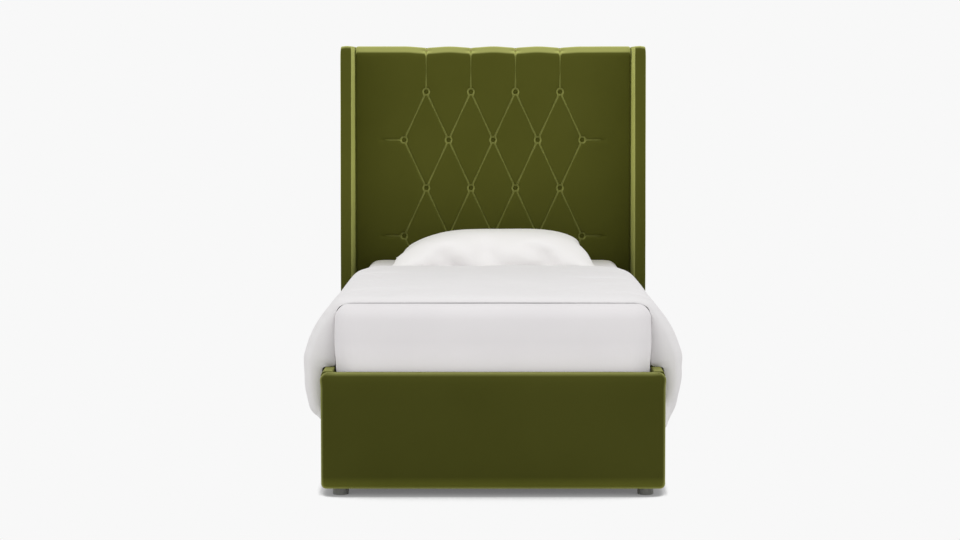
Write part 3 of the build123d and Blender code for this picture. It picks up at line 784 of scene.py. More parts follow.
def thicken(piece: bpy.types.Object, thickness: float) -> None:
    """Give a single sheet its thickness, inwards.

    Args:
        piece: The sheet.
        thickness: Its thickness.
    """
    wall = piece.modifiers.new("thickness", "SOLIDIFY")
    wall.thickness = thickness
    wall.offset = -1.0
    settle(piece)


# The headboard

Station = tuple[Vector, Vector, float]


@dataclass(frozen=True)
class Pleat:
    """A sewn crease between two points of the headboard's face, given as x and height."""

    start: Place
    end: Place
    start_depth: float
    slack_depth: float
    end_depth: float
    half_width: float

    @property
    def reach(self) -> float:
        """The distance from its line at which the crease fades out."""
        return 4.2 * self.half_width

    def spans(self, x: float, height: float) -> bool:
        """Whether a place lies in the box round the crease."""
        return all(
            min(first, last) - self.reach < value < max(first, last) + self.reach
            for value, first, last in zip((x, height), self.start, self.end)
        )

    def depth_at(self, x: float, height: float) -> float:
        """Work out how far the crease draws the face in.

        Args:
            x: The place across the pad.
            height: The place along the pad's face.

        Returns:
            The depth there.
        """
        along, away = from_line(x, height, self.start, self.end)
        if away >= self.reach:
            return 0.0
        near_start = max(0.0, 1 - along / 0.5)
        near_end = max(0.0, 1 - (1 - along) / 0.5)
        depth = self.slack_depth
        depth += (self.start_depth - self.slack_depth) * near_start**1.6
        depth += (self.end_depth - self.slack_depth) * near_end**1.6
        nearness = max(near_start, near_end) ** 2
        width = self.half_width * (0.8 + 0.7 * nearness)
        crease = max(0.0, 1 - away / width) ** 1.1
        hollow = math.exp(-((away / (1.7 * width)) ** 2))
        soft = 0.14 + 0.18 * nearness
        return depth * ((1 - soft) * crease + soft * hollow)


# Each kind of pleat: its depths at the start, in the slack and at the end, and its half width.
DIAMOND = (0.0115, 0.0062, 0.0115, 0.0042)
RUN_UP = (0.0105, 0.0045, 0.0105, 0.0036)
RUN_OVER = (0.0105, 0.004, 0.0, 0.006)
RUN_DOWN = (0.0105, 0.0045, 0.005, 0.004)
SIDE_PULL = (0.0165, 0.0095, 0.0, 0.0062)

# A button's outline from its back to its crown, as how far it stands out and how far from its axis.
BUTTON_OUTLINE = (
    (0.0, 0.0085),
    (0.0015, 0.0108),
    (0.0035, 0.010584),
    (0.00627, 0.008856),
    (0.00855, 0.006048),
    (0.0093575, 0.003024),
    (0.0095, 0.0),
)


@dataclass
class TuftedHeadboard:
    """The pad of the headboard, drawn in by buttons and pleats, and the plain panels behind it."""

    velvet: bpy.types.Material
    column_pitch: float = 0.0877
    row_pitch: float = 0.1894
    top_row_drop: float = 0.179
    row_count: int = 5
    long_row: int = 5
    lip_radius: float = 0.022
    top_slope: float = 0.034
    top_lean: float = 60.0
    top_radius: float = 0.034
    bottom_radius: float = 0.012
    side_radius: float = 0.009
    back_radius: float = 0.006
    under_depths: tuple[float, float] = (0.03, 0.02)
    edge_run: float = 0.01
    steps_per_pitch: int = 34
    board_front: float = 0.9775
    board_top: float = 1.4
    run_over: float = 0.16
    side_pull: float = 0.1
    dimple_depth: float = 0.0185
    dimple_floor: float = 0.0068
    dimple_mouth: float = 0.0175
    sag_depth: float = 0.0035
    sag_width: float = 0.032
    sag_end: float = 0.07
    swag_depth: float = 0.0045
    swag_drop: float = 0.055
    swag_run: float = 0.04
    swell: float = 0.0012
    button_back: float = 0.026
    panel_radius: float = 0.0022
    panel_spacing: float = 0.03
    panel_edge: float = 0.09
    panel_slack: float = 0.0012

    def __post_init__(self) -> None:
        """Read the place of the pad and lay out its buttons and pleats."""
        self.low, self.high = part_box("headboard_pad")
        self.rows = [self._row(index) for index in range(self.row_count)]
        self.pleats = list(self._pleats())

    def _row(self, index: int) -> list[Place]:
        """Lay out one row of buttons.

        Args:
            index: The row's number, counted from the top.

        Returns:
            The buttons' places, from left to right.
        """
        count = self.long_row - 1 + index % 2
        height = self.high.z - self.top_row_drop - index * self.row_pitch
        return [((column - (count - 1) / 2) * 2 * self.column_pitch, height) for column in range(count)]

    def _pleats(self) -> Iterator[Pleat]:
        """Lay out the diamonds, the runs to both edges and the short side pulls.

        Yields:
            Every pleat of the pad.
        """
        for upper_row, lower_row in zip(self.rows, self.rows[1:]):
            for upper in upper_row:
                for lower in lower_row:
                    if abs(upper[0] - lower[0]) < 1.5 * self.column_pitch:
                        yield Pleat(upper, lower, *DIAMOND)
        for place in self.rows[0]:
            crest = (place[0], self.high.z)
            yield Pleat(place, crest, *RUN_UP)
            yield Pleat(crest, (place[0], self.high.z + self.run_over), *RUN_OVER)
        for place in self.rows[-1]:
            yield Pleat(place, (place[0], self.low.z), *RUN_DOWN)
        for row in self.rows[1::2]:
            for place, way in ((row[0], -1), (row[-1], 1)):
                yield Pleat(place, (place[0] + way * self.side_pull, place[1]), *SIDE_PULL)

    def _dimple_at(self, away: float) -> float:
        """How far a button draws the face in at a distance from its middle."""
        wall = 1 - smoothstep((away - self.dimple_floor) / (self.dimple_mouth - self.dimple_floor))
        return self.dimple_depth * wall + self.sag_depth * math.exp(-((away / self.sag_width) ** 2))

    def depth_at(self, x: float, height: float) -> float:
        """Work out how far the velvet lies behind the flat face.

        Args:
            x: The place across the pad.
            height: The place along the pad's face.

        Returns:
            The depth there.
        """
        deepest = 0.0
        for row in self.rows:
            for place in row:
                away = math.hypot(x - place[0], height - place[1])
                if away < self.sag_end:
                    deepest = max(deepest, self._dimple_at(away))
        for pleat in self.pleats:
            if pleat.spans(x, height):
                deepest = max(deepest, pleat.depth_at(x, height))
        return deepest

    def _swag_at(self, x: float, height: float) -> float:
        """How far the top hangs in, between the pleats that run over it."""
        across = min(abs(x), 4 * self.column_pitch) / self.column_pitch - 1
        up = smoothstep((height - self.high.z + self.swag_drop) / self.swag_run)
        return self.swag_depth * (0.5 + 0.5 * math.cos(math.pi * across)) * up

    def _columns(self) -> list[tuple[float, float, float]]:
        """Lay out the places across the pad.

        Returns:
            Each as its x, its inset and its share of the relief, from left to right.
        """
        step = self.column_pitch / self.steps_per_pitch
        flat = self.high.x - self.side_radius
        inner = [index * step for index in range(int(flat / step) + 1)]
        places = [(x, 0.0, 1.0) for x in inner if flat - x > step / 3]
        for index in range(5):
            turn = math.radians(90 * index / 4)
            inset = self.side_radius * (1 - math.cos(turn))
            places.append((flat + self.side_radius * math.sin(turn), inset, 1.0 - index / 4))
        return [(-x, inset, share) for x, inset, share in reversed(places[1:])] + places

    def _underside(self) -> Iterator[Station]:
        """Lay out the line from the board under the pad to the start of its face.

        Yields:
            Each station as its point, its outward normal and its height along the face.
        """
        front, under, radius = self.low.y, self.low.z, self.bottom_radius
        for y in (self.board_front, *(front + depth for depth in self.under_depths)):
            yield Vector((0, y, under)), Vector((0, 0, -1)), under - self.edge_run
        centre = Vector((0, front + radius, under + radius))
        for index in range(6):
            turn = math.radians(90 * index / 5)
            normal = Vector((0, -math.sin(turn), -math.cos(turn)))
            yield centre + normal * radius, normal, centre.z + normal.z * radius

    def _face(self) -> Iterator[Station]:
        """Lay out the flat face, with a station on every row of buttons.

        Yields:
            The stations from below, as in the underside.
        """
        step = self.row_pitch / self.steps_per_pitch
        row_z = self.rows[0][0][1]
        below = self.low.z + self.bottom_radius
        above = self.high.z - self.lip_radius - self.top_slope / 2
        lowest = math.ceil((below + step / 2 - row_z) / step)
        highest = math.floor((above - step / 2 - row_z) / step)
        for index in range(lowest, highest + 1):
            height = row_z + index * step
            yield Vector((0, self.low.y, height)), Vector((0, -1, 0)), height

    def _crest(self) -> Iterator[Station]:
        """Lay out the lip, the slope and the round to the flat top, and the turn down behind it.

        Yields:
            The stations from the face on, as in the underside.
        """
        top, lean = self.high.z, math.radians(self.top_lean)
        drop = self.lip_radius * math.sin(lean) + self.top_slope * math.cos(lean)
        drop += self.top_radius * (1 - math.sin(lean))
        place, height = Vector((0, self.low.y, top - drop)), top - drop
        for size, first, last, steps in (
            (self.lip_radius, 0.0, lean, 6),
            (self.top_slope, lean, lean, 12),
            (self.top_radius, lean, math.pi / 2, 4),
        ):
            length = size * (last - first if last > first else 1) / steps
            for index in range(steps):
                turn = first + (last - first) * (index + 0.5) / steps
                yield place.copy(), Vector((0, -math.cos(turn), math.sin(turn))), height
                place += Vector((0, math.sin(turn), math.cos(turn))) * length
                height += length
        radius = self.back_radius
        run = self.high.y - place.y - radius
        for index in range(11):
            along = run * index / 10
            yield Vector((0, place.y + along, top)), Vector((0, 0, 1)), height + along
        centre = Vector((0, self.high.y - radius, top - radius))
        for turn in (0.5, 1.0):
            normal = Vector((0, math.sin(math.pi / 2 * turn), math.cos(math.pi / 2 * turn)))
            yield centre + normal * radius, normal, height + run + self.edge_run * turn
        behind = Vector((0, self.high.y, self.board_top))
        yield behind, Vector((0, 1, 0)), height + run + 2 * self.edge_run

    def _inner_point(self, point: Vector) -> Vector:
        """The point on the boards that lies under a point of the pad's outside."""
        if point.z < self.board_top:
            return Vector((point.x, min(self.board_front, self.high.y), point.z))
        return Vector((point.x, max(point.y, self.board_front), self.board_top))

    def _wrap(self, shape: bmesh.types.BMesh, side: Side) -> None:
        """Carry one side of the velvet back to the boards.

        Args:
            shape: The pad.
            side: The side.
        """
        limit = self.high.x - TOUCH / 10
        chain = [
            edge
            for edge in shape.edges
            if edge.is_boundary and all(vertex.co.x * side.value > limit for vertex in edge.verts)
        ]
        made = bmesh.ops.extrude_edge_only(shape, edges=chain)["geom"]
        for vertex in (item for item in made if isinstance(item, bmesh.types.BMVert)):
            vertex.co = self._inner_point(vertex.co)

    def _sharpen(
        self, places: dict[tuple[int, int], bmesh.types.BMVert], across: list[float], heights: list[float]
    ) -> None:
        """Put a sharp edge along the bottom of every pleat, splitting the faces that it crosses.

        Args:
            places: The pad's vertices by column and row.
            across: The x of each column.
            heights: The height along the face of each row.
        """
        for pleat in self.pleats:
            ends = []
            for x, height in (pleat.start, pleat.end):
                column = min(range(len(across)), key=lambda index: abs(across[index] - x))
                row = min(range(len(heights)), key=lambda index: abs(heights[index] - height))
                ends.append((column, row))
            (column, row), (last_column, last_row) = ends
            way_x = (last_column > column) - (last_column < column)
            way_z = (last_row > row) - (last_row < row)
            for step in range(max(abs(last_column - column), abs(last_row - row))):
                first = places[column + way_x * step, row + way_z * step]
                second = places[column + way_x * (step + 1), row + way_z * (step + 1)]
                edge = next((item for item in first.link_edges if item.other_vert(first) is second), None)
                if edge is None:
                    shared = [face for face in first.link_faces if face in second.link_faces]
                    bmesh.utils.face_split(shared[0], first, second)
                    edge = next(item for item in first.link_edges if item.other_vert(first) is second)
                edge.smooth = False

    def build_pad(self) -> None:
        """Make the pad: a sheet wrapped round the edges, with the relief of buttons and pleats."""
        columns = self._columns()
        profile = [*self._underside(), *self._face(), *self._crest()]
        shape = bmesh.new()
        places = grid_sheet(shape, len(columns), len(profile))
        for (column, row), vertex in places.items():
            x, inset, share = columns[column]
            point, normal, height = profile[row]
            depth = self.depth_at(x, height) * share + inset + self._swag_at(x, height)
            swell = self.swell * ripple(Vector((x, 0, height)), 7.0, 3.0)
            vertex.co = Vector((x, point.y, point.z)) - normal * (depth + max(0.0, swell))
        self._sharpen(places, [column[0] for column in columns], [station[2] for station in profile])
        for side in Side:
            self._wrap(shape, side)
        bmesh.ops.recalc_face_normals(shape, faces=shape.faces)
        piece = make_cover("headboard_tufted_pad", shape, self.velvet, "headboard_pad")

    def build_buttons(self) -> None:
        """Make the covered buttons that sit in the dimples."""
        back = self.low.y + self.button_back
        shape = bmesh.new()
        for x, z in (place for row in self.rows for place in row):
            outline = [shape.verts.new((x, back - out, z + away)) for out, away in BUTTON_OUTLINE]
            line = [shape.edges.new(pair) for pair in zip(outline, outline[1:])]
            bmesh.ops.spin(
                shape,
                geom=outline + line,
                cent=(x, back, z),
                axis=(0, 1, 0),
                angle=math.tau,
                steps=18,
                use_merge=True,
            )
        bmesh.ops.remove_doubles(shape, verts=shape.verts, dist=TOUCH / 10)
        bmesh.ops.recalc_face_normals(shape, faces=shape.faces)
        make_cover("headboard_covered_buttons", shape, self.velvet, "tuft_buttons")

    def build_panel(self, place: str, way: int) -> None:
        """Make one plain panel of velvet on the boards.

        Args:
            place: The panel's place, as it stands in its names.
            way: Which way it faces along the bed: 1 for the back and -1 for the front.
        """
        low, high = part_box(f"headboard_{place}_cover")
        shape = box_shape(low, high)
        outer = high.y if way > 0 else low.y
        round_edges(shape, lambda edge: abs(middle(edge).y - outer) < TOUCH, self.panel_radius, 3)
        lattice(shape, self.panel_spacing)
        for vertex in shape.verts:
            if abs(vertex.co.y - outer) < TOUCH:
                from_side = min(vertex.co.x - low.x, high.x - vertex.co.x)
                from_end = min(vertex.co.z - low.z, high.z - vertex.co.z)
                slack = self.panel_slack * smoothstep(min(from_side, from_end) / self.panel_edge)
                vertex.co.y -= way * slack * (1 + ripple(vertex.co, 5.0, 8.0))
        make_cover(f"headboard_{place}_panel", shape, self.velvet, f"headboard_{place}_cover")

    def build(self) -> None:
        """Make every piece of the headboard."""
        self.build_pad()
        self.build_buttons()
        self.build_panel("back", 1)
        self.build_panel("lower", -1)


# The wings and the rails


@dataclass
class PaddedWing:
    """One wing: a flat board in foam and velvet, with a round upper front corner."""

    side: Side
    velvet: bpy.types.Material
    slope_start: float = 0.69
    slope_depth: float = 0.031
    corner_setback: float = 0.022968
    bend_setback: float = 0.02
    edge_radius: float = 0.0055
    spacing: float = 0.022
    crown: float = 0.0025
    crown_width: float = 0.075
    hem_slack: float = 0.02
    waviness: float = 0.0005
    top_fall: float = 0.0045
    fall_height: float = 0.03
    outer_round: float = 0.009
    inner_round: float = 0.004
    round_width: float = 0.016
    round_height: float = 0.04
    hem_drop: float = 0.0006

    def _blank(self, low: Vector, high: Vector, bottom: float) -> bmesh.types.BMesh:
        """Make the wing's body from its outline.

        Args:
            low: The lowest corner of the cover's solid.
            high: Its highest corner.
            bottom: The height of the hem.

        Returns:
            The body with its two rounded corners, its edges still sharp.
        """
        outline = [
            (low.y, bottom),
            (low.y, self.slope_start),
            (low.y + self.slope_depth, high.z),
            (high.y, high.z),
            (high.y, bottom),
        ]
        shape = bmesh.new()
        corners = [shape.verts.new((low.x, y, z)) for y, z in outline]
        shape.faces.new(corners)
        bevel(shape, [corners[2]], self.corner_setback, 16, "VERTICES")
        bevel(shape, [corners[1]], self.bend_setback, 5, "VERTICES")
        made = bmesh.ops.extrude_face_region(shape, geom=shape.faces[:])["geom"]
        moved = [item for item in made if isinstance(item, bmesh.types.BMVert)]
        bmesh.ops.translate(shape, vec=(high.x - low.x, 0, 0), verts=moved)
        bmesh.ops.recalc_face_normals(shape, faces=shape.faces)
        return shape

    def build(self) -> None:
        """Make the wing's cover."""
        low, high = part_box(f"wing_{self.side.word}_cover")
        bottom = low.z - self.hem_drop
        shape = self._blank(low, high, bottom)

        def is_front_or_top(edge: bmesh.types.BMEdge) -> bool:
            """Whether an edge lies along the rounded front or top of the wing."""
            place = middle(edge)
            return not runs_along(edge, 0) and place.y < high.y - 10 * TOUCH and place.z > bottom + 10 * TOUCH

        round_edges(shape, is_front_or_top, self.edge_radius, 7)
        lattice(shape, self.spacing)
        self._swell(shape, low, high)
        name = f"wing_{self.side.word}"
        piece = make_cover(f"{name}_padding", shape, self.velvet, f"{name}_cover")

    def _swell(self, shape: bmesh.types.BMesh, low: Vector, high: Vector) -> None:
        """Draw the velvet in a little towards the edges, so that the faces are crowned.

        Args:
            shape: The wing.
            low: The lowest corner of the cover's solid.
            high: Its highest corner.
        """
        shape.normal_update()
        left, right = self.outer_round, self.inner_round
        if self.side is Side.RIGHT:
            left, right = right, left
        moves = []
        for vertex in shape.verts:
            place = vertex.co
            flatness = smoothstep((abs(vertex.normal.x) - 0.5) / 0.4)
            if flatness > 0:
                edge = min(place.y - low.y, high.z - place.z, place.z - low.z + self.hem_slack)
                hollow = 1 - smoothstep(edge / self.crown_width)
                wave = abs(self.waviness * ripple(place, 6.0, 5.0))
                inward = flatness * (self.crown * hollow * 0.7 + wave)
                moves.append((vertex, Vector((-math.copysign(inward, vertex.normal.x), 0, 0))))
            if place.z > high.z - self.fall_height:
                back_share = (place.y - low.y) / (high.y - low.y)
                moves.append((vertex, Vector((0, 0, -self.top_fall * (1 - back_share)))))
            near_top = smoothstep(1 - (high.z - place.z) / self.round_height)
            for face, drop in ((low.x, left), (high.x, right)):
                turn = max(0.0, 1 - abs(place.x - face) / self.round_width)
                moves.append((vertex, Vector((0, 0, -drop * near_top * (1 - math.sqrt(1 - turn * turn))))))
        for vertex, move in moves:
            vertex.co += move


@dataclass
class PaddedRail:
    """One side rail: a board in foam and velvet that runs from the foot rail to the headboard."""

    side: Side
    velvet: bpy.types.Material
    top_radius: float = 0.012
    bottom_radius: float = 0.008
    inner_radius: float = 0.004
    spacing: float = 0.03
    hem_drop: float = 0.0006
    crown: float = 0.0025
    crown_width: float = 0.09
    end_slack: float = 0.02
    waviness: float = 0.0008

    def build(self) -> None:
        """Make the rail's cover."""
        name = f"side_rail_{self.side.word}"
        low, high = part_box(f"{name}_cover")
        low = Vector((low.x, low.y, low.z - self.hem_drop))
        shape = box_shape(low, high)
        outer, inner = (high.x, low.x) if self.side is Side.RIGHT else (low.x, high.x)

        def picks(x: float, z: float) -> EdgeTest:
            """A test for the long edge at one corner of the section."""
            return lambda edge: (
                runs_along(edge, 1) and abs(middle(edge).x - x) < TOUCH and abs(middle(edge).z - z) < TOUCH
            )

        round_edges(shape, picks(outer, high.z), self.top_radius, 7)
        round_edges(shape, picks(outer, low.z), self.bottom_radius, 5)
        round_edges(shape, picks(inner, high.z), self.inner_radius, 4)
        lattice(shape, self.spacing)
        for vertex in shape.verts:
            place = vertex.co
            near_face = 1 - smoothstep(abs(place.x - outer) / self.top_radius)
            if near_face > 0:
                edge = min(place.z - low.z, high.z - place.z, place.y - low.y + self.end_slack)
                hollow = 1 - smoothstep(edge / self.crown_width)
                wave = abs(ripple(place, 4.5, 2.0)) * self.waviness
                place.x -= self.side.value * near_face * (self.crown * hollow + wave)
        piece = make_cover(f"{name}_padding", shape, self.velvet, f"{name}_cover")


@dataclass
class FootRail:
    """The rail across the foot, with a soft top roll that stands out a little at both ends."""

    velvet: bpy.types.Material
    corner_radius: float = 0.018
    top_radius: float = 0.025
    bottom_radius: float = 0.015
    spacing: float = 0.024
    pull_in: float = 0.0035
    ledge_fall: float = 0.0055
    ledge_height: float = 0.06
    roll_start: float = 0.01
    roll_height: float = 0.03
    under_height: float = 0.045
    under_reach: float = 0.004
    hem_drop: float = 0.0034
    face_depth: float = 0.02
    crown: float = 0.003
    crown_width: float = 0.1
    waviness: float = 0.0007

    def build(self) -> None:
        """Make the rail's cover."""
        low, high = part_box("foot_rail_cover")
        low = Vector((low.x, low.y, low.z - self.hem_drop))
        shape = box_shape(low, high)

        def is_corner(edge: bmesh.types.BMEdge) -> bool:
            """Whether an edge stands at one of the two front corners."""
            return runs_along(edge, 2) and abs(middle(edge).y - low.y) < TOUCH

        def is_upper_front(edge: bmesh.types.BMEdge) -> bool:
            """Whether an edge lies along the top, but not where the mattress stands against it."""
            heights = [vertex.co.z for vertex in edge.verts]
            return min(heights) > high.z - TOUCH and middle(edge).y < high.y - 10 * TOUCH

        def is_lower_front(edge: bmesh.types.BMEdge) -> bool:
            """Whether an edge lies along the bottom of the face or of its round corners."""
            heights = [vertex.co.z for vertex in edge.verts]
            return max(heights) < low.z + TOUCH and middle(edge).y < high.y - 10 * TOUCH

        round_edges(shape, is_corner, self.corner_radius, 8)
        round_edges(shape, is_upper_front, self.top_radius, 7)
        round_edges(shape, is_lower_front, self.bottom_radius, 5)
        lattice(shape, self.spacing)
        self._pad(shape, low, high)
        piece = make_cover("foot_rail_padding", shape, self.velvet, "foot_rail_cover")

    def _pad(self, shape: bmesh.types.BMesh, low: Vector, high: Vector) -> None:
        """Let the top fall forward, draw the ends in below the roll and crown the face.

        Args:
            shape: The rail.
            low: Its lowest corner.
            high: Its highest corner.
        """
        half = high.x
        for vertex in shape.verts:
            place = vertex.co
            below_roll = smoothstep((high.z - place.z - self.roll_start) / self.roll_height)
            end = smoothstep((abs(place.x) / half - 0.9) / 0.1)
            place.x -= math.copysign(self.pull_in * below_roll * end, place.x)
            front_share = (high.y - place.y) / (high.y - low.y) * (1 - 0.75 * end)
            near_top = 1 - smoothstep((high.z - place.z) / self.ledge_height)
            place.z -= self.ledge_fall * front_share * near_top
            if place.y < low.y + self.face_depth:
                under = max(0.0, 1 - (place.z - low.z) / self.under_height)
                place.y += self.under_reach * under * under
                from_edge = min(half - abs(place.x), place.z - low.z, high.z - place.z)
                hollow = 1 - smoothstep(from_edge / self.crown_width)
                place.y += self.crown * hollow * 0.6 + self.waviness * abs(ripple(place, 4.0, 1.0))


# The mattress and the bedding


@dataclass
class SprungMattress:
    """The mattress in its ticking, and the fitted sheet drawn over it."""

    ticking: bpy.types.Material
    sheet: bpy.types.Material
    edge_radius: float = 0.038
    corner_radius: float = 0.07
    swell: float = 0.003
    tuck: float = 0.004
    tuck_height: float = 0.47
    tuck_run: float = 0.09
    hem_height: float = 0.331
    hem_run: float = 0.05
    side_start: float = 0.06
    side_run: float = 0.05
    gather: float = 0.0012
    crease: float = 0.0011
    waviness: float = 0.0006
    grow: float = 0.0023
    cloth: float = 0.0012
    spacing: float = 0.02
    sliver: float = 0.0012
    flat_width: float = 1.5
    flat_length: float = 2.44

    def _form(self, grow: float) -> bmesh.types.BMesh:
        """Make the mattress's shape.

        Args:
            grow: How much larger it is all round than its solid.

        Returns:
            The shape, cut into small faces.
        """
        low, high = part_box("mattress")
        more = Vector((grow, grow, grow))
        low, high = low - more, high + more
        shape = box_shape(low, high)
        round_edges(shape, lambda edge: runs_along(edge, 2), self.corner_radius + grow, 9)
        for level in (low.z, high.z):
            round_edges(
                shape,
                lambda edge: all(abs(vertex.co.z - level) < TOUCH for vertex in edge.verts),
                self.edge_radius + grow,
                7,
            )
        lattice(shape, self.spacing)
        bmesh.ops.remove_doubles(shape, verts=shape.verts, dist=self.sliver)
        centre, half = (low + high) / 2, (high - low) / 2
        for vertex in shape.verts:
            place = vertex.co
            off = (place.z - centre.z) / half.z
            tucked = smoothstep((self.tuck_height - place.z) / self.tuck_run)
            draw = self.swell * off * off + self.tuck * tucked
            for axis, start in ((0, 0.8), (1, 0.9)):
                away = place[axis] - centre[axis]
                outward = smoothstep((abs(away) / half[axis] - start) / (1 - start))
                place[axis] -= math.copysign(draw * outward, away)
        return shape

    def build_mattress(self) -> None:
        """Make the mattress."""
        shape = self._form(0.0)
        piece = make_piece("mattress_body", shape, self.ticking, "mattress", "mattress")

    def build_sheet(self) -> None:
        """Make the fitted sheet: a skin over the top and sides with a gathered hem."""
        shape = self._form(self.grow)
        cut(shape, Vector((0, 0, self.hem_height)), Vector((0, 0, 1)), clear_behind=True)
        shape.normal_update()
        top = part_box("fitted_sheet")[1].z
        for vertex in shape.verts:
            place = vertex.co
            near_hem = 1 - smoothstep((place.z - self.hem_height) / self.hem_run)
            on_side = 1 - smoothstep((place.z - top + self.side_start) / self.side_run)
            gather = self.gather * near_hem * math.sin((place.x + place.y * 1.1) * 150)
            drawn = Vector((place.x * 3, place.y * 3, place.z * 1.2))
            crease = self.crease * on_side * ripple(drawn, 4.0, 6.0)
            flat = self.waviness * ripple(place, 6.0, 11.0)
            place += vertex.normal * max(-self.grow / 2, min(0.0, gather + crease + flat))
        piece = make_piece(
            "mattress_fitted_sheet", shape, self.sheet, "mattress", "fitted_sheet"
        )
        thicken(piece, self.cloth)

    def build(self) -> None:
        """Make the mattress and its sheet."""
        self.build_mattress()
        self.build_sheet()


@dataclass(frozen=True)
class Crease:
    """A soft valley between two places of the duvet's top, seen from above."""

    start: Place
    end: Place
    width: float
    depth: float

    def depth_at(self, x: float, y: float) -> float:
        """How far the crease draws the cloth in."""
        along, away = from_line(x, y, self.start, self.end)
        if not 0 < along < 1:
            return 0.0
        return self.depth * math.exp(-((away / self.width) ** 2)) * math.sin(math.pi * along) ** 0.7


CREASES = (
    Crease((0.4, 0.3), (0.58, 0.1), 0.016, 0.009),
    Crease((-0.4, 0.27), (-0.58, 0.13), 0.014, 0.008),
    Crease((0.28, 0.31), (0.5, 0.2), 0.022, 0.006),
    Crease((-0.26, 0.12), (-0.56, -0.02), 0.018, 0.007),
    Crease((-0.3, -0.16), (-0.57, -0.27), 0.016, 0.006),
    Crease((0.22, -0.06), (0.57, -0.2), 0.018, 0.007),
    Crease((0.3, -0.42), (0.57, -0.34), 0.02, 0.006),
    Crease((-0.28, -0.5), (-0.56, -0.64), 0.02, 0.006),
    Crease((0.34, -0.66), (0.55, -0.76), 0.015, 0.006),
    Crease((-0.18, 0.34), (0.14, 0.22), 0.018, 0.005),
    Crease((-0.1, -0.2), (0.16, -0.31), 0.02, 0.005),
)


def upright(points: Sequence[Place]) -> list[Vector]:
    """Points of an upright cross section, given as x and z."""
    return [Vector((x, 0, z)) for x, z in points]


